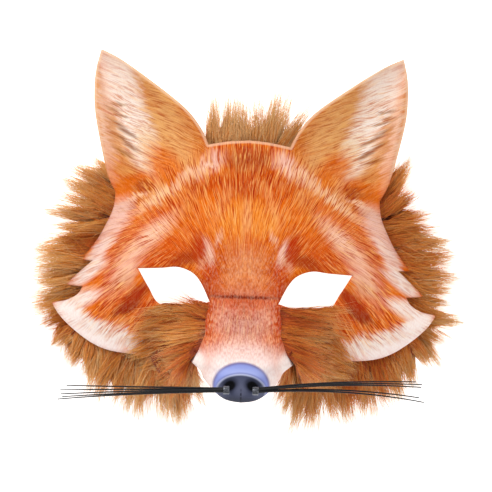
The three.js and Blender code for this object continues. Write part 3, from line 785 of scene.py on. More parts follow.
class PrintedPlush(Finish):
    """Short plush printed with a fox's face, streaked the way the hair lies."""

    name = "printed_plush"
    base = (224, 112, 40)
    lining = (222, 206, 190)
    lays = (("face_lay", ""), ("side_lay", "on_side"), ("ear_lay", "on_ear"), ("snout_lay", "on_snout"))
    fine_streak = (0.5, 8)
    broad_streak = (1.7, 12)
    firm_drift = 0.45
    handful = 12

    def __init__(self) -> None:
        """Makes the group that lays one patch over what is under it."""
        graph = new_group("soft_patch", "Shader", {
            "Under": "Color", "Place": "Vector", "Middle": "Vector", "Turn": "Vector", "Reach": "Vector",
            "Tint": "Color", "Amount": "Float", "Start": "Float", "End": "Float",
        }, "Color")
        given = graph.given()
        inputs = {"Vector": "Place", "Location": "Middle", "Rotation": "Turn", "Scale": "Reach"}
        inputs = {key: given[label] for key, label in inputs.items()}
        local = graph.out("ShaderNodeMapping", inputs, vector_type="TEXTURE")
        share = graph.eased(graph.vector("LENGTH", local), given["End"], given["Start"]) * given["Amount"]
        graph.add("NodeGroupOutput", {0: graph.mixed(share, given["Under"], given["Tint"])})
        self.group = graph.tree

    def lay(self, graph: Graph, tone: Wire, place: Wire, patches: list[Patch]) -> Wire:
        """Lays patches one over another, each handful waiting for the one before it.

        The wait is a step too small to see. Without it the renderer works on every patch at once
        and runs out of room.

        Args:
            graph: The material's graph.
            tone: Colour so far.
            place: Where each point is, in millimetres.
            patches: The patches, lowest first.

        Returns:
            The colour with the patches on it.
        """
        for n, patch in enumerate(patches):
            if n % self.handful == 0:
                place = place + graph.vector("MULTIPLY", tone, UP) * 1e-5
            tone = graph.out("ShaderNodeGroup", {
                "Under": tone, "Place": place,
                "Middle": (patch.x, patch.y, 0), "Turn": (0, 0, math.radians(patch.turn)),
                "Reach": (patch.length, patch.width, 1), "Tint": colour(*patch.tint),
                "Amount": patch.amount, "Start": 1 - patch.soft, "End": 1 + patch.soft,
            }, node_tree=self.group)
        return tone

    def strands(self, graph: Graph, width: float, length: float) -> list[Wire]:
        """Streaks that run the way the printed hair lies.

        Args:
            graph: The material's graph.
            width: Width of a streak, in millimetres.
            length: Length of a streak, in millimetres.

        Returns:
            Three numbers that change from streak to streak.
        """
        result = None
        for lay, share in self.lays:
            source = graph.attribute(lay, "Vector")
            source = source + (graph.noise(source, 0.05, 1.0, output=1) - HALF) * 4.0
            noise = graph.noise(graph.stretched(source, (1 / length, 1 / width, 1)), 1.0, 2.5, output=1)
            result = graph.mixed(graph.attribute(share), result, noise) if share else noise
        return graph.split(result)

    def streaked(self, graph: Graph, tone: Wire, calm: Wire, fine: list[Wire], broad: list[Wire]) -> Wire:
        """Draws fine and broad streaks, light and dark, over the colour.

        Args:
            graph: The material's graph.
            tone: Colour so far.
            calm: Share that the fine streaks keep.
            fine: Numbers of the fine streaks.
            broad: Numbers of the broad streaks.

        Returns:
            The streaked colour.
        """
        pale = graph.eased(fine[1], 0.48, 0.66, 0, 0.85) * calm
        tone = graph.lightened(pale, tone, (255, 200, 122))
        tone = graph.darkened(graph.eased(fine[2], 0.48, 0.66) * calm, tone, (200, 108, 62))
        tone = graph.darkened(graph.eased(broad[2], 0.48, 0.72, 0, 0.4), tone, (224, 140, 80))
        return graph.lightened(graph.eased(broad[1], 0.5, 0.74, 0, 0.35), tone, (252, 200, 136))

    def speckled(self, graph: Graph, tone: Wire, place: Wire, middle: Wire) -> Wire:
        """Speckles the short hair of the bridge and the snout.

        Args:
            graph: The material's graph.
            tone: Colour so far.
            place: Where each point is, in millimetres.
            middle: Share of bridge and snout at each point.

        Returns:
            The speckled colour.
        """
        up = graph.split(place)[1]
        middle = middle * graph.eased(up, -60, -46, 0.25, 1)
        spots = graph.noise(graph.stretched(place, (1.3, 0.6, 1)), 1.0, 3.0, output=1)
        grain, fleck, _ = graph.split(spots)
        clouds = graph.eased(graph.noise(place, 0.2, 3.0), 0.42, 0.66, 0, 0.3) * middle
        tone = graph.darkened(clouds, tone, (206, 126, 96))
        spotty = graph.eased(up, -24, -34, 0.45, 0.6) * graph.eased(middle, 0, 1, 0.2, 1)
        tone = graph.darkened(graph.eased(grain, 0.38, 0.68) * spotty, tone, (206, 134, 104))
        return graph.lightened(graph.eased(fleck, 0.4, 0.68, 0, 0.8) * spotty, tone, (255, 226, 196), 0.5)

    def surface(self, graph: Graph) -> dict[str, object]:
        """Wires patches, streaks, speckle, nose, lip and lining.

        Args:
            graph: The material's graph.

        Returns:
            Inputs of the surface, by name.
        """
        place, comb = graph.attribute("place", "Vector"), graph.attribute("comb", "Vector")
        out, up, _ = graph.split(place)
        edge = graph.attribute("edge")
        fine, broad = self.strands(graph, *self.fine_streak), self.strands(graph, *self.broad_streak)
        loose = graph.eased(graph.attribute("on_snout"), 0, 1, 20, 8)
        drift = (fine[0] * 0.45 + broad[0] * 0.55 - 0.5) * loose
        tone = graph.out("ShaderNodeRGB")
        tone.socket.default_value = colour(*self.base)
        tone = self.lay(graph, tone, place + comb * drift, FACE_PATCHES)

        middle = graph.eased(up, 10, -14) * graph.eased(out, 28, 16)
        border = graph.eased(out, 44, 60) * graph.eased(edge, 15, 3)
        calm = graph.eased(graph.attribute("on_ear"), 0, 1, 1, 0.65)
        calm = calm * graph.eased(middle, 0, 1, 1, 0.55) * graph.eased(border, 0, 1, 1, 0.4)
        tone = self.streaked(graph, tone, calm, fine, broad)
        tone = self.lay(graph, tone, place + comb * (drift * self.firm_drift), FIRM_PATCHES)
        tone = self.speckled(graph, tone, place, middle)
        vivid = {"Hue": 0.5, "Saturation": 1.035, "Value": 1.0, "Fac": 1.0, "Color": tone}
        tone = self.lay(graph, graph.out("ShaderNodeHueSaturation", vivid), place, NOSE_PATCHES)

        lip = graph.eased(edge, 1.6, 0.6) * graph.eased(up, 34, 48, 0, 0.6)
        tone = graph.mixed(lip, tone, colour(240, 200, 166))
        inside = graph.mixed(graph.noise(place, 2.4), colour(206, 188, 170), colour(*self.lining))
        pile = graph.noise(place, 3.0, 3.0) * 0.6 + fine[1] * 0.6
        return {
            "Base Color": graph.mixed(graph.attribute("lining"), tone, inside),
            "Normal": graph.out("ShaderNodeBump", {"Strength": 0.35, "Distance": 0.0004, "Height": pile}),
            "Roughness": 0.88, "Sheen Weight": 0.03, "Sheen Roughness": 0.5, "Specular IOR Level": 0.1,
        }


@dataclass
class PrintedFace:
    """The thin moulded face with its ears, eye holes and snout; lengths are in millimetres."""

    spacing: float = 1.15
    edge_step: float = 0.85
    edge_roll: float = 1.4
    lay_centre: float = -36.0
    side_centre: float = 30.0
    rim_out: float = 0.3
    low: float = -78.5
    high: float = 101.5
    half_span: float = 103.0
    longest: float = 228.8
    clear: float = 1.5
    insets: tuple[float, float] = (0.5, 1.1)
    runs = [drawn(rows) for rows in (
        ((0, 53.5), (10.1, 52.7), (21, 50.7)),
        ((21, 50.7), (25.5, 59.5), (34.6, 70), (54, 84.5), (68.5, 94.2), (78.1, 99)),
        ((78.1, 99), (80.2, 90.3), (81.1, 79.4), (79.9, 64), (73.5, 36.9), (68.4, 25.5)),
        ((68.4, 25.5), (69.4, 16.9), (73.4, 7.8), (78.2, -0.6), (85.8, -10)),
        ((85.8, -10), (78.8, -10.1)),
        ((78.8, -10.1), (83.8, -14.5), (93.2, -23.1)),
        ((93.2, -23.1), (83.6, -23.7)),
        ((83.6, -23.7), (86.2, -28.1), (92.3, -31.5), (100, -33.1)),
        ((100, -33.1), (94.8, -39.8), (85.6, -47.4), (75.4, -53.4), (64.8, -56.2), (45.9, -57.2)),
        ((45.9, -57.2), (26, -57.8)),
        ((26, -57.8), (20.6, -61.6), (18.2, -66.1), (13, -71.7), (7.2, -75.2), (0, -76.3)),
    )]
    lids = [drawn(rows) for rows in (
        ((17, -28.9), (21.6, -19.4), (26.4, -14.1), (34, -11.5), (42.8, -12.3), (55, -13)),
        ((55, -13), (49.1, -22.5), (43, -30.9), (30, -32.2), (17, -28.9)),
    )]

    def rings(self) -> list[np.ndarray]:
        """The outline and both eye outlines.

        Returns:
            Rings of points in plan.
        """
        right = loop_of(self.runs, self.edge_step)
        lip = np.array([[0, self.runs[-1][-1][1]]])
        left = right[1:][::-1] * np.array([-1, 1])
        eye = loop_of(self.lids, self.edge_step)
        return [np.concatenate([right, lip, left]), eye, eye[::-1] * np.array([-1, 1])]

    def nearest_edge(self, points: np.ndarray, rings: list[np.ndarray]) -> tuple[np.ndarray, np.ndarray]:
        """Measures points against the edges.

        Args:
            points: Points in plan.
            rings: The outline and the eyes.

        Returns:
            Each point's distance to the nearest edge, and whether it is on the face.
        """
        near = np.full(len(points), np.inf)
        inside = np.zeros(len(points), dtype=bool)
        for number, ring in enumerate(rings):
            hit = np.zeros(len(points), dtype=bool)
            for start, end in zip(ring, np.roll(ring, -1, axis=0)):
                reach = end - start
                share = np.clip(((points - start) @ reach) / (reach @ reach), 0, 1)
                gap = points - start - share[:, None] * reach
                near = np.minimum(near, np.hypot(gap[:, 0], gap[:, 1]))
                if start[1] != end[1]:
                    across = (start[1] > points[:, 1]) != (end[1] > points[:, 1])
                    cut = start[0] + (points[:, 1] - start[1]) * reach[0] / reach[1]
                    hit ^= across & (points[:, 0] < cut)
            inside = hit if number == 0 else inside & ~hit
        return near, inside

    def inner_points(self, rings: list[np.ndarray]) -> np.ndarray:
        """Points over the face, evenly spaced on its surface.

        Args:
            rings: The outline and the eyes.

        Returns:
            Points in plan.
        """
        rows = []
        for n, y in enumerate(np.arange(self.low, self.high, self.spacing)):
            ladder = MAP.sample(MAP.girth, MAP.x, np.full_like(MAP.x, y))
            half = int(self.longest / self.spacing)
            wanted = (np.arange(-half, half + 1) + 0.5 * (n % 2)) * self.spacing
            across = np.interp(wanted, ladder, MAP.x)
            across = across[np.abs(across) < self.half_span]
            rows.append(np.stack([across, np.full_like(across, y)], axis=1))
        points = np.concatenate(rows)
        near, inside = self.nearest_edge(points, rings)
        return points[inside & (near > self.clear)]

    def inset(self, rings: list[np.ndarray], distance: float) -> np.ndarray:
        """Points a set distance in from every edge.

        Args:
            rings: The outline and the eyes.
            distance: How far in.

        Returns:
            Points in plan.
        """
        found = []
        for ring in rings:
            along = np.roll(ring, -1, axis=0) - np.roll(ring, 1, axis=0)
            square = np.stack([-along[:, 1], along[:, 0]], axis=1)
            square /= np.linalg.norm(square, axis=1)[:, None]
            found += [ring + square * distance, ring - square * distance]
        points = np.concatenate(found)
        near, inside = self.nearest_edge(points, rings)
        return points[inside & (near > distance * 0.9)]

    def plan(self) -> tuple[np.ndarray, np.ndarray, list[np.ndarray]]:
        """Triangulates the face in plan.

        Returns:
            The points, the triangles and the edge rings.
        """
        rings = self.rings()
        loose = [self.inset(rings, distance) for distance in self.insets] + [self.inner_points(rings)]
        points = np.concatenate(rings + loose)
        edges, start = [], 0
        for ring in rings:
            count = len(ring)
            edges += [(start + i, start + (i + 1) % count) for i in range(count)]
            start += count
        found = delaunay_2d_cdt([tuple(p) for p in points.tolist()], edges, [], 0, 1e-6)
        points = np.array([tuple(p) for p in found[0]])
        faces = np.array([tuple(face) for face in found[2]])
        _, inside = self.nearest_edge(points[faces].mean(axis=1), rings)
        faces = faces[inside]
        a, b, c = (points[faces[:, i]] for i in range(3))
        area = (b[:, 0] - a[:, 0]) * (c[:, 1] - a[:, 1]) - (b[:, 1] - a[:, 1]) * (c[:, 0] - a[:, 0])
        faces[area < 0] = faces[area < 0][:, ::-1]
        faces = faces[np.abs(area) > 1e-9]
        used, faces = np.unique(faces, return_inverse=True)
        return points[used], faces.reshape(-1, 3), rings

    def border(self, faces: np.ndarray) -> list[tuple[int, int]]:
        """The edges that only one triangle has, in its own direction.

        Args:
            faces: Corner numbers of the triangles.

        Returns:
            Both corner numbers of each edge.
        """
        sides = np.concatenate([faces[:, [0, 1]], faces[:, [1, 2]], faces[:, [2, 0]]])
        known = set(map(tuple, sides.tolist()))
        return [(a, b) for a, b in sides.tolist() if (b, a) not in known]

    def spreading(self, x: np.ndarray, y: np.ndarray, middle: float) -> tuple[np.ndarray, np.ndarray]:
        """Hair that spreads from a point on the face's middle line.

        Args:
            x: Places across the face.
            y: Places up the face.
            middle: How far up the face the hair spreads from.

        Returns:
            The place along and around the spread, and the way the hair points.
        """
        up = y - middle
        radius = np.hypot(x, up) + 4
        lay = np.stack([radius, 75 * np.arctan2(x, up), 0 * x], axis=1)
        return lay, np.stack([np.abs(x), up, 0 * x], axis=1) / radius[:, None]

    def lay_of_hair(self, mesh: bpy.types.Mesh, points: np.ndarray) -> None:
        """Stores where each point is and how the printed hair lies there.

        Args:
            mesh: The face's mesh.
            points: Its points in plan.
        """
        x, y = points[:, 0], points[:, 1]
        lean = np.arctan2(np.abs(x), y - self.lay_centre)
        shares = {
            "on_side": ease(math.radians(36), math.radians(62), lean),
            "on_ear": FORM.on_ear(x, y),
            "on_snout": ease(self.lay_centre + 8, self.lay_centre - 2, y) * ease(34, 26, np.abs(x)),
        }
        tilt = math.radians(24)
        ear_comb = np.array([math.cos(tilt), math.sin(tilt), 0])
        ear_across = np.abs(x) * math.cos(tilt) + y * math.sin(tilt)
        ear_up = -np.abs(x) * math.sin(tilt) + y * math.cos(tilt)
        face_lay, comb = self.spreading(x, y, self.lay_centre)
        side_lay, side_comb = self.spreading(x, y, self.side_centre)
        for share, way in zip(shares.values(), (side_comb, ear_comb, np.array([0.0, -1.0, 0.0]))):
            comb = comb * (1 - share)[:, None] + way * share[:, None]
        give(mesh, "place", np.stack([np.abs(x), y, 0 * x], axis=1))
        give(mesh, "comb", comb)
        give(mesh, "face_lay", face_lay)
        give(mesh, "side_lay", side_lay)
        give(mesh, "ear_lay", np.stack([ear_across, ear_up, np.sign(x) * 3], axis=1))
        give(mesh, "snout_lay", np.stack([y, x, 0 * x], axis=1))
        for name, share in shares.items():
            give(mesh, name, share)

    def unwrap(self, mesh: bpy.types.Mesh, plan: np.ndarray, counts: tuple[int, int, int]) -> None:
        """Lays the front, the back and the rim out side by side.

        Args:
            mesh: The face's mesh.
            plan: The plan of each point.
            counts: How many faces the front, the back and the rim have.
        """
        # the front fills the upper part of the sheet, the back the lowest, the rim three rows between
        loops = np.zeros(len(mesh.loops), dtype=np.int32)
        mesh.loops.foreach_get("vertex_index", loops)
        x, y = plan[loops, 0], plan[loops, 1]
        girth = MAP.sample(MAP.girth, x, y)
        up = (y + 79) / 182
        front = np.stack([0.5 + 0.49 * girth / 150, 0.28 + 0.71 * up], axis=1)
        back = np.stack([0.5 + 0.49 * x / 104, 0.01 + 0.22 * up], axis=1)
        first, second, rest = counts[0] * 3, counts[1] * 3, counts[2]
        uv = np.concatenate([front[:first], back[first:first + second], np.zeros((rest * 4, 2))])
        strip = first + second
        per_ring = rest // 3
        for k in range(rest):
            ring, place = divmod(k, per_ring)
            left, right = 0.01 + 0.98 * place / per_ring, 0.01 + 0.98 * (place + 0.9) / per_ring
            high = 0.262 - 0.007 * ring
            low = high - 0.006
            uv[strip + 4 * k:strip + 4 * k + 4] = [[left, high], [left, low], [right, low], [right, high]]
        layer = mesh.uv_layers.new(name="OFBake")
        layer.data.foreach_set("uv", uv.astype(np.float32).ravel())

    def build(self, material: bpy.types.Material) -> bpy.types.Object:
        """Makes the face in place of its solid.

        Args:
            material: The printed plush.

        Returns:
            The face.
        """
        plan, faces, rings = self.plan()
        near, _ = self.nearest_edge(plan, rings)
        x, y = plan[:, 0], plan[:, 1]
        lean = np.clip(1 - near / self.edge_roll, 0, 1)
        rolled = self.edge_roll * 0.8 * (1 - np.sqrt(1 - 0.97 * lean * lean))
        front = MAP.sample(MAP.front, x, y) - rolled
        back = np.minimum(MAP.sample(MAP.back, x, y), front - 0.8) + rolled * 0.4
        border = self.border(faces)
        rim = sorted({corner for edge in border for corner in edge})
        number = {corner: i for i, corner in enumerate(rim)}
        count, ring_count = len(plan), len(rim)
        outward = np.zeros((ring_count, 2))
        for a, b in border:
            along = plan[b] - plan[a]
            square = np.array([along[1], -along[0]]) / max(np.linalg.norm(along), 1e-9)
            outward[number[a]] += square
            outward[number[b]] += square
        outward /= np.maximum(np.linalg.norm(outward, axis=1), 1e-9)[:, None]
        between = [
            (plan[rim] + outward * self.rim_out, front[rim] * (1 - share) + back[rim] * share)
            for share in (0.3, 0.75)
        ]
        places = np.concatenate([plan, plan] + [p for p, _ in between])
        heights = np.concatenate([front, back] + [z for _, z in between])
        levels = [
            lambda c: c, lambda c: 2 * count + number[c],
            lambda c: 2 * count + ring_count + number[c], lambda c: count + c,
        ]
        quads = [
            [upper(a), lower(a), lower(b), upper(b)]
            for upper, lower in zip(levels, levels[1:]) for a, b in border
        ]
        shapes = faces.tolist() + (faces[:, ::-1] + count).tolist() + quads
        piece = make_object("printed_face", np.column_stack([places, heights]), shapes, material)
        lining = np.zeros(len(places))
        lining[count:2 * count] = 1
        lining[2 * count + ring_count:] = 0.6
        give(piece.data, "lining", lining)
        give(piece.data, "edge", np.concatenate([near, near, np.zeros(2 * ring_count)]))
        self.lay_of_hair(piece.data, places)
        self.unwrap(piece.data, places, (len(faces), len(faces), len(quads)))
        return piece


class Tone(Enum):
    """Colours of the fur from root to tip; the dark root colours are partly the fur's own and partly painted
    shade deep in the pile.
    """

    UNDER = (140, 72, 20)
    ROOT = (206, 116, 34)
    BODY = (238, 150, 48)
    LIGHT = (244, 176, 80)
    TIP = (252, 220, 166)


class FoxFur(Finish):
    """Long soft synthetic fur, dark at the skin and pale at the tips; the dark at the skin is partly the
    fur's own colour and partly painted shade deep in the pile.
    """

    name = "fox_fur"
    stops = ((0.0, Tone.UNDER), (0.14, Tone.ROOT), (0.42, Tone.BODY), (0.75, Tone.LIGHT), (1.0, Tone.TIP))

    def surface(self, graph: Graph) -> dict[str, object]:
        """Wires a colour that depends on the strand's tone and the place along it.

        Args:
            graph: The material's graph.

        Returns:
            Inputs of the surface, by name.
        """
        tone, along, _ = graph.split(graph.out("ShaderNodeUVMap", uv_map="OFBake"))
        ramp = graph.add("ShaderNodeValToRGB", {0: along})
        while len(ramp.color_ramp.elements) < len(self.stops):
            ramp.color_ramp.elements.new(0.5)
        for element, (place, shade) in zip(ramp.color_ramp.elements, self.stops):
            element.position = place
            element.color = colour(*shade.value)
        # a low tone darkens a strand and a high one pales it; the pelts set a low tone by the face's edges as
        # painted shade
        dark, light = graph.eased(tone, 0.55, 0.0, 0, 0.85), graph.eased(tone, 0.45, 1.0, 0, 0.85)
        shaded = graph.darkened(dark, Wire(graph, ramp.outputs[0]), (224, 146, 74))
        pale = graph.mixed(light, shaded, colour(248, 206, 146))
        return {"Base Color": pale, "Roughness": 0.6, "Specular IOR Level": 0.25, "Sheen Weight": 0.1}


@dataclass(frozen=True)
class Strip:
    """A strip of fur between a line of roots and a line of tips, on the right side."""

    roots: np.ndarray
    tips: np.ndarray

    def point(self, along: np.ndarray, share: np.ndarray) -> tuple[np.ndarray, np.ndarray]:
        """Finds points of the strip in plan.

        Args:
            along: Places along the strip, 0 to 1.
            share: Places from roots, 0, to tips, 1.

        Returns:
            The points and how far it is there from roots to tips.
        """
        root = on_curve(self.roots, along)
        reach = on_curve(self.tips, along) - root
        return root + reach * share[..., None], np.linalg.norm(reach, axis=2)


def strip_grid(along: tuple[float, float, int], share: tuple[float, float, int]) -> list[np.ndarray]:
    """Grids of places along a strip and across it.

    Args:
        along: First and last place along the strip, and their number.
        share: First and last place from roots to tips, and their number.

    Returns:
        One grid of each.
    """
    return np.meshgrid(np.linspace(*along), np.linspace(*share), indexing="ij")


def comb_of(top: np.ndarray, lift: float) -> np.ndarray:
    """Direction from roots to tips along a skin, raised a little.

    Args:
        top: The skin's corners, from roots to tips in each row.
        lift: Slope of the hair against the skin.

    Returns:
        A unit vector for each corner.
    """
    along = np.gradient(top, axis=1)
    along /= np.maximum(np.linalg.norm(along, axis=2, keepdims=True), 1e-9)
    along[..., 2] += lift
    return along / np.linalg.norm(along, axis=2, keepdims=True)


@dataclass(frozen=True)
class Pelt:
    """A closed skin of fur on the right side: where it lies and how its hair grows there."""

    plan: np.ndarray
    high: np.ndarray
    low: np.ndarray | float
    lift: float
    length: np.ndarray
    tone: np.ndarray
    cover: np.ndarray
    # the skin reads the darkest root colour: painted shade deep in the fur, over the fur's own dark base
    skin_spot = ((0.012, 0.004), (0.012, 0.016), (0.024, 0.016), (0.024, 0.004))

    def quads(self) -> list[list[int]]:
        """Faces of the block between the upper corners and the lower ones.

        Returns:
            Corner numbers of each face, upper corners first.
        """
        rows, columns = self.high.shape
        size = rows * columns
        here = {(i, j): i * columns + j for i in range(rows) for j in range(columns)}
        quads = []
        for i in range(rows - 1):
            for j in range(columns - 1):
                ring = [(i, j), (i + 1, j), (i + 1, j + 1), (i, j + 1)]
                quads.append([here[at] for at in ring])
                quads.append([here[at] + size for at in reversed(ring)])
        walk = [(i, 0) for i in range(rows - 1)] + [(rows - 1, j) for j in range(columns - 1)]
        walk += [(i, columns - 1) for i in range(rows - 1, 0, -1)]
        walk += [(0, j) for j in range(columns - 1, 0, -1)]
        for a, b in zip(walk, walk[1:] + walk[:1]):
            quads.append([here[a], here[a] + size, here[b] + size, here[b]])
        return quads

    def skin(self, name: str, side: int, material: bpy.types.Material) -> bpy.types.Object:
        """Makes the skin's mesh.

        Args:
            name: The piece's name.
            side: 1 for the right of the face, -1 to mirror it to the left.
            material: The fur.

        Returns:
            The object.
        """
        top = np.dstack([self.plan, self.high])
        bottom = np.dstack([self.plan, np.broadcast_to(self.low, self.high.shape)])
        mirror = np.array([side, 1, 1])
        quads = self.quads()
        across, down = top[1, 0] - top[0, 0], top[0, 1] - top[0, 0]
        if (across[0] * down[1] - across[1] * down[0] > 0) != (side > 0):
            quads = [quad[::-1] for quad in quads]
        corners = np.concatenate([top.reshape(-1, 3), bottom.reshape(-1, 3)]) * mirror
        piece = make_object(name, corners, quads, material)
        comb = comb_of(top, self.lift).reshape(-1, 3) * mirror
        give(piece.data, "comb", np.concatenate([comb, comb]))
        lower_cover = np.zeros_like(self.high)
        for mark, upper, lower in (
            ("hair_length", self.length * MM, self.length * MM),
            ("tone", self.tone, self.tone), ("cover", self.cover, lower_cover),
        ):
            give(piece.data, mark, np.concatenate([upper.ravel(), lower.ravel()]))
        layer = piece.data.uv_layers.new(name="OFBake")
        spot = np.array(self.skin_spot, dtype=np.float32)
        layer.data.foreach_set("uv", np.tile(spot, (len(piece.data.polygons), 1)).ravel())
        return piece


@dataclass(frozen=True)
class Growth:
    """How the hair of one piece grows."""

    strands: int
    tuft_spacing: float
    tuft_pull: float
    seed: int
    fall: float = 0.2
    stray: float = 0.2
    thickness: float = 0.36


class FurTree:
    """Geometry nodes that grow tapered, bent and tufted strands on a pelt."""

    inputs = {
        "Pelt": "Geometry", "Density": "Float", "Thickness": "Float", "Tuft spacing": "Float",
        "Tuft pull": "Float", "Stray": "Float", "Fall": "Float", "Seed": "Int", "Fur": "Material",
    }
    vectors = ("comb", "tuft", "origin", "round")
    most_tufts = 90000.0
    floor = 0.0004

    def __init__(self) -> None:
        """Builds the tree."""
        self.graph = new_group("fur_strands", "Geometry", self.inputs, "Geometry")
        self.given = self.graph.given()
        strands = self.shaped(self.planted(self.roots()))
        whole = self.graph.add("GeometryNodeJoinGeometry")
        for part in (strands, self.given["Pelt"]):
            self.graph.feed(whole, {0: part})
        self.graph.dress(Wire(self.graph, whole.outputs[0]), self.given["Fur"])

    def kind_of(self, name: str) -> str:
        """Whether a named attribute is a vector or a number."""
        return "FLOAT_VECTOR" if name in self.vectors else "FLOAT"

    def named(self, name: str) -> Wire:
        """Reads a named attribute."""
        return self.graph.out("GeometryNodeInputNamedAttribute", {"Name": name}, data_type=self.kind_of(name))

    def stored(self, geometry: Wire, name: str, value: Wire) -> Wire:
        """Stores a named attribute at each point and gives the geometry.

        Args:
            geometry: What it is stored on.
            name: The attribute's name.
            value: Its value.

        Returns:
            The geometry with the attribute.
        """
        inputs = {"Geometry": geometry, "Name": name, "Value": value}
        kind = self.kind_of(name)
        return self.graph.out("GeometryNodeStoreNamedAttribute", inputs, data_type=kind, domain="POINT")

    def chance(self, low: float, high: float, offset: int) -> Wire:
        """A random number for each root."""
        inputs = {2: low, 3: high, 8: self.given["Seed"] + offset}
        return self.graph.out("FunctionNodeRandomValue", inputs, 1, data_type="FLOAT")

    def scattered(self, method: str, inputs: dict[str, object]) -> Wire:
        """Scatters points over the pelt."""
        inputs = {"Mesh": self.given["Pelt"], **inputs}
        return self.graph.out("GeometryNodeDistributePointsOnFaces", inputs, distribute_method=method)

    def roots(self) -> Wire:
        """Scatters the roots and gives each its comb, length, tuft and tone.

        Returns:
            The roots as points.
        """
        graph, given, cover, whole = self.graph, self.given, self.named("cover"), self.named("hair_length")
        points = self.scattered("RANDOM", {"Density": given["Density"] * cover, "Seed": given["Seed"]})
        tufts = self.scattered("POISSON", {
            "Distance Min": given["Tuft spacing"], "Density Max": self.most_tufts,
            "Density Factor": cover, "Seed": given["Seed"] + 7,
        })
        position = graph.out("GeometryNodeInputPosition")
        inputs = {"Geometry": tufts, "Sample Position": position}
        near = graph.out("GeometryNodeSampleNearest", inputs, domain="POINT")
        middle, tuft_comb = (graph.out(
            "GeometryNodeSampleIndex", {"Geometry": tufts, "Value": value, "Index": near},
            data_type="FLOAT_VECTOR", domain="POINT",
        ) for value in (position, self.named("comb")))
        points = self.stored(points, "origin", position)
        points = self.stored(points, "tuft", middle - position)

        inputs = {0: (-1.0, -1.0, -1.0), 1: (1.0, 1.0, 1.0), 8: given["Seed"] + 11}
        stray = graph.out("FunctionNodeRandomValue", inputs, data_type="FLOAT_VECTOR")
        stray = stray * ((self.chance(0.0, 1.0, 5) ** 6.0 * 2.6 + 0.3) * given["Stray"])
        wind = (graph.noise(middle * 60.0, 1.0, 1.0, output=1) - HALF) * 1.5
        comb = (tuft_comb + self.named("comb")) * 0.5 + stray + wind
        points = self.stored(points, "comb", graph.vector("NORMALIZE", comb))

        tuft_chance = graph.noise(middle * 900.0, 1.0, 0.0)
        length = whole * (self.chance(0.0, 1.0, 1) ** 2.6 * 1.05 + 0.44)
        length = length * graph.eased(tuft_chance, 0.32, 0.68, 0.7, 1.2)
        apart = graph.math("DIVIDE", graph.vector("LENGTH", self.named("tuft")), given["Tuft spacing"])
        length = length * graph.eased(apart, 0.0, 0.85, 1.15, 0.75)
        points = self.stored(points, "hair_length", graph.math("MINIMUM", length, whole * 1.25))

        patchy = graph.eased(graph.noise(position * 55.0, 1.0), 0.3, 0.7, -0.22, 0.22)
        own = graph.eased(tuft_chance, 0.35, 0.65, -0.1, 0.1)
        shade = self.named("tone") + patchy + own + self.chance(-0.34, 0.34, 2)
        shade = graph.math("MAXIMUM", graph.math("MINIMUM", shade, 0.97), 0.04)
        return self.stored(points, "tone", shade)

    def planted(self, points: Wire) -> Wire:
        """Puts one plain strand on every root, marked with the place along and around it.

        Args:
            points: The roots.

        Returns:
            The strands.
        """
        graph = self.graph
        sizes = {"Vertices": 3, "Side Segments": 3, "Radius Top": 0.0, "Radius Bottom": 1.0, "Depth": 1.0}
        strand = graph.out("GeometryNodeMeshCone", sizes, fill_type="NGON")
        x, y, rise = graph.split(graph.out("GeometryNodeInputPosition"))
        strand = self.stored(strand, "rise", rise)
        strand = self.stored(strand, "round", graph.joined(x, y))
        many = graph.out("GeometryNodeInstanceOnPoints", {"Points": points, "Instance": strand})
        return graph.out("GeometryNodeRealizeInstances", {"Geometry": many})

    def shaped(self, strands: Wire) -> Wire:
        """Bends each strand from its root along its comb and gathers its tip in its tuft.

        Args:
            strands: The plain strands.

        Returns:
            The strands in shape, with their tone and the place along them as OFBake.
        """
        graph, given = self.graph, self.given
        rise, length, comb, origin = (self.named(name) for name in ("rise", "hair_length", "comb", "origin"))
        bend = length * (rise * rise)
        along = comb * (length * rise)
        down = graph.vector("SCALE", (0.0, 0.0, -1.0), bend * given["Fall"])
        gather = self.named("tuft") * (rise ** 1.4 * given["Tuft pull"])
        wave_at = origin * 320.0 + graph.vector("SCALE", UP, rise * 1.6)
        wave = (graph.noise(wave_at, 1.0, 1.0, output=1) - HALF) * (bend * 0.4)
        side = graph.vector("NORMALIZE", graph.vector("CROSS_PRODUCT", comb, UP))
        over = graph.vector("CROSS_PRODUCT", side, comb)
        ring_x, ring_y, _ = graph.split(self.named("round"))
        width = given["Thickness"] * 0.5 * (rise * 0.5 + 1.0)
        body = side * (ring_x * width) + over * (ring_y * width)
        x, y, z = graph.split(origin + along + down + gather + wave + body)
        place = graph.joined(x, y, graph.math("MAXIMUM", z, self.floor))
        moved = graph.out("GeometryNodeSetPosition", {"Geometry": strands, "Position": place})
        uv = graph.joined(self.named("tone") + ring_x * 0.006, rise * 0.95 + ring_y * 0.006 + 0.03)
        inputs = {"Geometry": moved, "Name": "OFBake", "Value": uv}
        return graph.out("GeometryNodeStoreNamedAttribute", inputs, data_type="FLOAT2", domain="CORNER")

    def grow(self, pelt: bpy.types.Object, growth: Growth, material: bpy.types.Material) -> bpy.types.Object:
        """Grows the fur on a pelt and gives it as a plain mesh.

        Args:
            pelt: The skin.
            growth: How its hair grows.
            material: The fur.

        Returns:
            A new object that stands for skin and hair.
        """
        cover = pelt.data.attributes["cover"].data
        area = sum(
            face.area * sum(cover[i].value for i in face.vertices) / len(face.vertices)
            for face in pelt.data.polygons
        )
        name = pelt.name.removesuffix("_skin")
        mesh = grown(pelt, self.graph.tree, (
            growth.strands / area, growth.thickness * MM, growth.tuft_spacing * MM, growth.tuft_pull,
            growth.stray, growth.fall, growth.seed, material,
        ))
        for mark in (*self.vectors, "hair_length", "tone", "rise", "cover"):
            if mark in mesh.attributes:
                mesh.attributes.remove(mesh.attributes[mark])
        return linked(name, mesh)


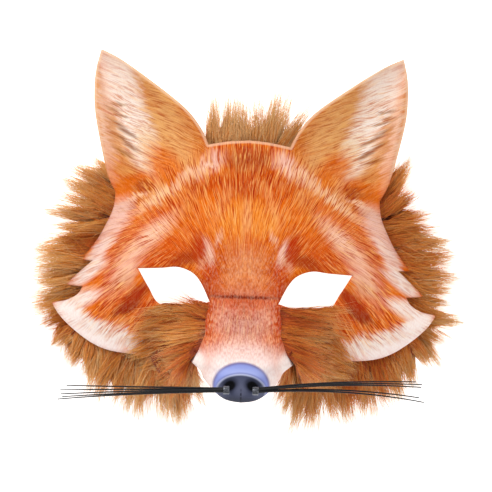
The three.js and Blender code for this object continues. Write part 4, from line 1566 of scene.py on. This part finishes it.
@dataclass
class FurPiece:
    """A piece of fur; each kind gives its own pelt."""

    name: str
    growth: Growth
    side: int = 1

    def pelt(self) -> Pelt:
        """Where the skin lies and how its hair grows there."""
        raise NotImplementedError

    def build(self, tree: FurTree, material: bpy.types.Material) -> bpy.types.Object:
        """Grows the piece.

        Args:
            tree: The fur's geometry nodes.
            material: The fur.

        Returns:
            The piece.
        """
        return tree.grow(self.pelt().skin(f"{self.name}_skin", self.side, material), self.growth, material)


class SideRuff(FurPiece):
    """Fur that stands out from behind the face on one side."""

    strip = Strip(
        drawn(((70, 34), (69, 27), (69, 18), (73, 7), (79, -6), (84, -18), (88, -30), (90, -43))),
        drawn(((80, 45), (90, 41), (98, 27), (107, 9), (111, -7), (111, -22), (113, -37), (103, -60))),
    )

    def pelt(self) -> Pelt:
        """Where the skin lies, on the floor and lower towards its ends.

        Returns:
            The pelt.
        """
        along, share = strip_grid((0, 1, 40), (-0.3, 0.36, 14))
        plan, whole = self.strip.point(along, share)
        high = 10.5 - 7.0 * np.clip(share, 0, 1) ** 1.3
        high = high * (0.55 + 0.45 * np.sin(np.pi * np.clip(along * 0.92 + 0.06, 0, 1)) ** 0.6)
        length = np.clip((0.95 - 0.8 * share) * whole, 12, 25)
        # the tone is lower by the roots, under the face's edge: painted shade there; the paler outer fur is
        # the fur's own colour
        tone = 0.42 + 0.26 * ease(-0.05, 0.35, share)
        return Pelt(plan, high, 0.3, 0.34, length, tone, np.where(share > -0.12, 1.0, 0.0))


class CrownRuff(FurPiece):
    """Fur that stands up between the ears."""

    strip = Strip(
        drawn(((-24, 51), (-12, 52.5), (0, 53.5), (12, 52.5), (24, 51))),
        drawn(((-27, 68), (-17, 74), (0, 73), (19, 75.5), (37, 69))),
    )

    def pelt(self) -> Pelt:
        """Where the skin lies, below the crown's edge and lower towards the ears.

        Returns:
            The pelt.
        """
        along, share = strip_grid((0.03, 0.97, 36), (-0.35, 0.2, 12))
        aside = 2 * along - 1
        plan, whole = self.strip.point(along, share * (1 - 0.8 * ease(0.7, 1, np.abs(aside))))
        crown = FORM.brow(np.array(0.0), np.array(54.9)) - MAP.wall
        level = crown - 12 * (0.35 + 1.1 * aside ** 2)
        high = level + 2.5 - 5 * np.clip(share, 0, 1)
        length = np.clip((1.12 - 0.9 * share) * whole, 18, 26)
        cover = np.where(share > -0.12, 1.0, 0.0)
        # the tone, 0.92 + 0.6 * share, is lower by the roots under the crown's edge: painted shade there
        return Pelt(plan, high, level - 4.5, 0.3, length, 0.92 + 0.6 * share, cover)


class CheekFur(FurPiece):
    """Fur that lies on the face under an eye."""

    strip = Strip(
        drawn(((17.5, -29.5), (19.5, -37), (22, -47), (25, -55), (27, -59))),
        drawn(((47, -28.5), (52, -39), (56, -50), (54, -61), (46, -71), (33, -77))),
    )

    def pelt(self) -> Pelt:
        """Where the skin lies, on the face and up against the snout's wall.

        Returns:
            The pelt.
        """
        along, share = strip_grid((0.05, 1, 32), (-0.12, 0.76, 18))
        plan, whole = self.strip.point(along, share)
        x, y = plan[..., 0], plan[..., 1]
        foot = reading(FORM.snout_foot, y)
        front = FORM.height(np.maximum(x, foot * 1.12), y)
        wall = FORM.height(foot * 0.94, y) - front
        front = front + 0.92 * np.maximum(wall, 0) * ease(1.6, 1.0, x / foot) * ease(-32, -46, y)
        fade = ease(0.7, 0.1, share) * ease(0.03, 0.14, along) * ease(1.0, 0.86, along)
        length = np.clip((1.1 - share) * whole, 12, 25)
        # the tone is lowest by the roots against the snout's wall: painted shade there; the rise outward is
        # partly the fur's own colour
        tone = 0.2 + 0.26 * np.clip(share, 0, 1)
        return Pelt(plan, front + 3.4 * fade + 0.2, front - 2.2, 0.1, length, tone, np.ones_like(share))


class Jowl(FurPiece):
    """Fur that hangs below the face's lower edge."""

    roots = drawn(((89, -43.5), (80, -50), (66, -55.5), (50, -56), (36, -56), (23, -57)))
    tips = {
        -1: drawn(((101, -55), (89, -67), (78, -80), (65, -90), (50, -92), (34, -94), (21, -78))),
        1: drawn(((102, -56), (92, -67), (80, -80), (65, -90), (50, -91), (36, -97), (21, -78))),
    }

    def pelt(self) -> Pelt:
        """Where the skin lies, from behind the face's edge down to the floor.

        Returns:
            The pelt.
        """
        along, share = strip_grid((0, 1, 44), (-0.24, 0.46, 16))
        plan, whole = Strip(self.roots, self.tips[self.side]).point(along, share)
        root = on_curve(self.roots, along)
        start = FORM.height(root[..., 0], root[..., 1]) - MAP.wall + 9 * ease(0.55, 0.8, along)
        tip = start * (0.12 + 0.18 * along) + 4
        fall = np.clip((share + 0.24) / 1.24, 0, 1) ** 1.4
        level = start + (tip - start) * fall
        high = level - 1.8 - 6 * ease(0.9, 1, along)
        length = np.clip((0.96 - 0.85 * share) * whole, 14, 34)
        # the tone is lower by the roots under the face's lower edge: painted shadow of that edge; the paler
        # end by the muzzle is the fur's own colour
        tone = np.maximum(0.34 + 0.4 * ease(-0.05, 0.35, share), 0.45 * ease(0.8, 0.95, along))
        cover = np.where(share > -0.14, 1.0 + 1.2 * ease(0.82, 1, along), 0.0)
        return Pelt(plan, high, np.maximum(0.3, level - 12), 0.22, length, tone, cover)


class BlackNylon(Finish):
    """Smooth black bristle with faint draw lines."""

    name = "black_nylon"

    def surface(self, graph: Graph) -> dict[str, object]:
        """Wires faint lines along the bristles.

        Args:
            graph: The material's graph.

        Returns:
            Inputs of the surface, by name.
        """
        place = graph.out("ShaderNodeTexCoord", output="Object")
        streak = graph.noise(graph.stretched(place, (120, 5200, 5200)), 1.0)
        return {
            "Base Color": graph.mixed(streak, colour(9, 9, 11), colour(26, 25, 28)),
            "Roughness": graph.eased(streak, 0.3, 0.7, 0.4, 0.55), "Specular IOR Level": 0.3,
        }


class BrightSteel(Finish):
    """Worn bright steel of the crimps."""

    name = "bright_steel"

    def surface(self, graph: Graph) -> dict[str, object]:
        """Wires wear in colour and roughness.

        Args:
            graph: The material's graph.

        Returns:
            Inputs of the surface, by name.
        """
        wear = graph.noise(graph.out("ShaderNodeTexCoord", output="Object"), 1500.0, 3.0)
        return {
            "Base Color": graph.mixed(wear, colour(44, 45, 50), colour(128, 130, 138)),
            "Roughness": graph.eased(wear, 0.3, 0.7, 0.22, 0.4), "Metallic": 0.9,
        }


class PaleFloor(Finish):
    """White sweep under the mask."""

    name = "pale_floor"

    def surface(self, graph: Graph) -> dict[str, object]:
        """Gives a matt white that glows a little, so that it stays white."""
        white = {"Base Color": colour(246, 246, 246), "Roughness": 0.9}
        return {**white, "Emission Color": (1, 1, 1, 1), "Emission Strength": 0.8}


class Bunch:
    """One bunch of five bristles in a crimp at the nose."""

    bristles = 5
    root_width = 1.15
    tip_width = 0.55
    sides = 10
    steps = 26
    uneven = 0.06
    length = 86.0
    radius = 1.0 / (2 * math.sin(math.pi / 5))
    bore = radius + 0.35 + 0.45  # the ring, half a bristle and a gap
    crimp_wall = 0.45
    crimp_length = 3.0

    def __init__(self, name: str, side: int, rise: list[float], bow: float) -> None:
        """Places the bunch.

        Args:
            name: left or right.
            side: 1 on the right of the face, -1 on the left.
            rise: How far up the face each tip is from its root, highest first.
            bow: How far the bunch bows up.
        """
        self.name, self.side, self.rise, self.bow = name, side, rise, bow
        low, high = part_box(f"whisker_crimp_{name}")
        inner = high[0] if side < 0 else low[0]
        self.start = np.array([inner, (low[1] + high[1]) / 2, (low[2] + high[2]) / 2]) / MM

    def lines(self) -> list[np.ndarray]:
        """The middle line of each bristle, in the frame's millimetres.

        Returns:
            A row of points for each bristle.
        """
        turns = sorted(
            (2 * math.pi * (i + 0.2) / self.bristles for i in range(self.bristles)),
            key=lambda turn: -math.sin(turn),
        )
        share = np.linspace(0, 1, self.steps)[:, None]
        found = []
        for i, turn in enumerate(turns):
            start = self.start + np.array([0, math.sin(turn), math.cos(turn)]) * self.radius
            wave = math.sin(i * 12.9898 + 9 * 78.233) * 43758.5453
            reach = self.length * (1 - self.uneven * (wave - math.floor(wave)))
            end = start + np.array([self.side * reach, self.rise[i], 2.5 * math.cos(turn) - 4])
            line = start + (end - start) * share
            line[:, 1] += self.bow * (share * (1 - share) * 4)[:, 0]
            found.append(line)
        middle = sum(found) / len(found)
        opening = 0.75 + 0.25 * (np.maximum(share - 0.1, 0) / 0.9) ** 2.4
        spread = np.where(share < 0.1, 1 - 2.5 * share, opening)
        return [middle + (line - middle) * spread for line in found]

    def tree(self) -> bpy.types.NodeTree:
        """Geometry nodes that sweep a round section along every line.

        Returns:
            The tree.
        """
        inputs = {"Lines": "Geometry", "Sides": "Int", "Nylon": "Material"}
        graph = new_group(f"bristles_{self.name}", "Geometry", inputs, "Geometry")
        given = graph.given()
        curve = graph.out("GeometryNodeMeshToCurve", {"Mesh": given["Lines"]})
        width = graph.out("GeometryNodeInputNamedAttribute", {"Name": "width"}, data_type="FLOAT")
        circle = {"Resolution": given["Sides"], "Radius": 1.0}
        section = graph.out("GeometryNodeCurvePrimitiveCircle", circle, mode="RADIUS")
        inputs = {"Curve": curve, "Profile Curve": section, "Scale": width, "Fill Caps": True}
        graph.dress(graph.out("GeometryNodeCurveToMesh", inputs), given["Nylon"])
        return graph.tree

    def build_bristles(self, material: bpy.types.Material) -> bpy.types.Object:
        """Makes the five bristles as one piece.

        Args:
            material: The nylon.

        Returns:
            The bunch.
        """
        points, edges, widths = [], [], []
        for line in self.lines():
            first = len(points)
            points += (line * MM).tolist()
            edges += [(first + i, first + i + 1) for i in range(len(line) - 1)]
            widths += np.linspace(self.root_width / 2, self.tip_width / 2, len(line)).tolist()
        mesh = bpy.data.meshes.new(f"bristle_lines_{self.name}")
        mesh.from_pydata(points, edges, [])
        give(mesh, "width", np.array(widths) * MM)
        mesh = grown(linked(mesh.name, mesh), self.tree(), (self.sides, material))
        return linked(f"bristles_{self.name}", mesh)

    def build_crimp(self, material: bpy.types.Material) -> bpy.types.Object:
        """Makes the rounded crimp around the bristles.

        Args:
            material: The steel.

        Returns:
            The crimp.
        """
        turns, around = 48, 16
        half_wall, half_length = self.crimp_wall / 2, self.crimp_length / 2
        points, faces = [], []
        for i in range(turns):
            turn = 2 * math.pi * i / turns
            ahead = (i + 1) % turns * around
            for k in range(around):
                bend = 2 * math.pi * k / around
                round_out = np.sign(math.cos(bend)) * abs(math.cos(bend)) ** 0.6
                round_along = np.sign(math.sin(bend)) * abs(math.sin(bend)) ** 0.35
                out = self.bore + half_wall + half_wall * round_out
                along = half_length + half_length * round_along
                local = np.array([self.side * along, out * math.cos(turn), out * math.sin(turn)])
                points.append(self.start + local - np.array([0, UP_SHIFT, 0]))
                after = (k + 1) % around
                faces.append([i * around + k, i * around + after, ahead + after, ahead + k][::-self.side])
        return make_object(f"crimp_{self.name}", np.array(points), faces, material)


def build_stage() -> None:
    """Makes the pale floor, the soft light and the camera straight above."""
    mesh = bpy.data.meshes.new("floor")
    corners = [(x * FLOOR_HALF, y * FLOOR_HALF, FLOOR_LEVEL) for x, y in ((-1, -1), (1, -1), (1, 1), (-1, 1))]
    mesh.from_pydata(corners, [], [(0, 1, 2, 3)])
    mesh.materials.append(PaleFloor().build())
    linked("floor", mesh)

    world = bpy.data.worlds.new("soft_room")
    world.use_nodes = True
    background = world.node_tree.nodes["Background"]
    background.inputs[0].default_value = (1, 1, 1, 1)
    background.inputs[1].default_value = ROOM_LIGHT
    bpy.context.scene.world = world
    for name, place, size, power in LAMPS:
        light = bpy.data.lights.new(name, "AREA")
        light.size, light.energy = size, power
        lamp = linked(name, light)
        lamp.location = place
        away = np.array(place) - np.array([0, 0, MIDDLE_LEVEL])
        flat = math.hypot(away[0], away[1])
        lamp.rotation_euler = (0, math.atan2(flat, away[2]), math.atan2(away[1], away[0]))

    lens = bpy.data.cameras.new("camera")
    lens.sensor_width = SENSOR
    lens.lens = SENSOR * VIEW_DISTANCE / VIEW_WIDTH
    camera = linked("camera", lens)
    camera.location = (0, UP_SHIFT * MM, CAMERA_LEVEL)
    camera.rotation_euler = (0, 0, math.radians(CAMERA_TURN))
    bpy.context.scene.camera = camera
    bpy.context.scene.view_settings.view_transform = "Standard"


def settle(piece: bpy.types.Object, slot: str, *nodes: str) -> None:
    """Puts a finished piece on the mask in place of its solids and reports it.

    Args:
        piece: The piece.
        slot: Not used.
        nodes: The solids that it stands for.
    """
    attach(piece, "root")
    if nodes:
        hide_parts(*nodes)
    count = sum(len(face.vertices) - 2 for face in piece.data.polygons)
    LOG.info("%s: %d triangles", piece.name, count)


def main() -> None:
    """Builds the mask piece by piece and writes how large it is."""
    logging.basicConfig(level=logging.INFO, format="%(name)s %(message)s")
    build_stage()
    settle(PrintedFace().build(PrintedPlush().build()), "print", "face_shell")

    fur, tree = FoxFur().build(), FurTree()
    crown = CrownRuff("crown_ruff_fur", Growth(2300, 6.0, 0.68, 21, thickness=0.28))
    settle(crown.build(tree, fur), "fur", "crown_ruff")
    nylon, steel = BlackNylon().build(), BrightSteel().build()
    for name, side, rise, bow in (
        ("left", -1, [-1.5, -3.6, -5.1, -5.9, -6.9], 0.4), ("right", 1, [6.2, 5.3, 4.4, -0.3, -2.2], 2.0),
    ):
        ruff = SideRuff(f"ruff_{name}", Growth(7800, 5.4, 0.66, 3, fall=0.16), side)
        jowl = Jowl(f"jowl_{name}", Growth(9600, 6.0, 0.7, 31 + side), side)
        on_face = Growth(6200, 5.0, 0.4, 41 + side, fall=0.1, stray=0.12, thickness=0.32)
        cheek = CheekFur(f"cheek_{name}", on_face, side)
        settle(ruff.build(tree, fur), "fur", f"side_ruff_{name}")
        settle(jowl.build(tree, fur), "fur", f"cheek_fur_{name}")
        settle(cheek.build(tree, fur), "fur")
        bunch = Bunch(name, side, rise, bow)
        settle(bunch.build_bristles(nylon), "bristle", *(f"whisker_{name}_{i}" for i in range(1, 6)))
        settle(bunch.build_crimp(steel), "crimp", f"whisker_crimp_{name}")


if __name__ == "__main__":
    main()
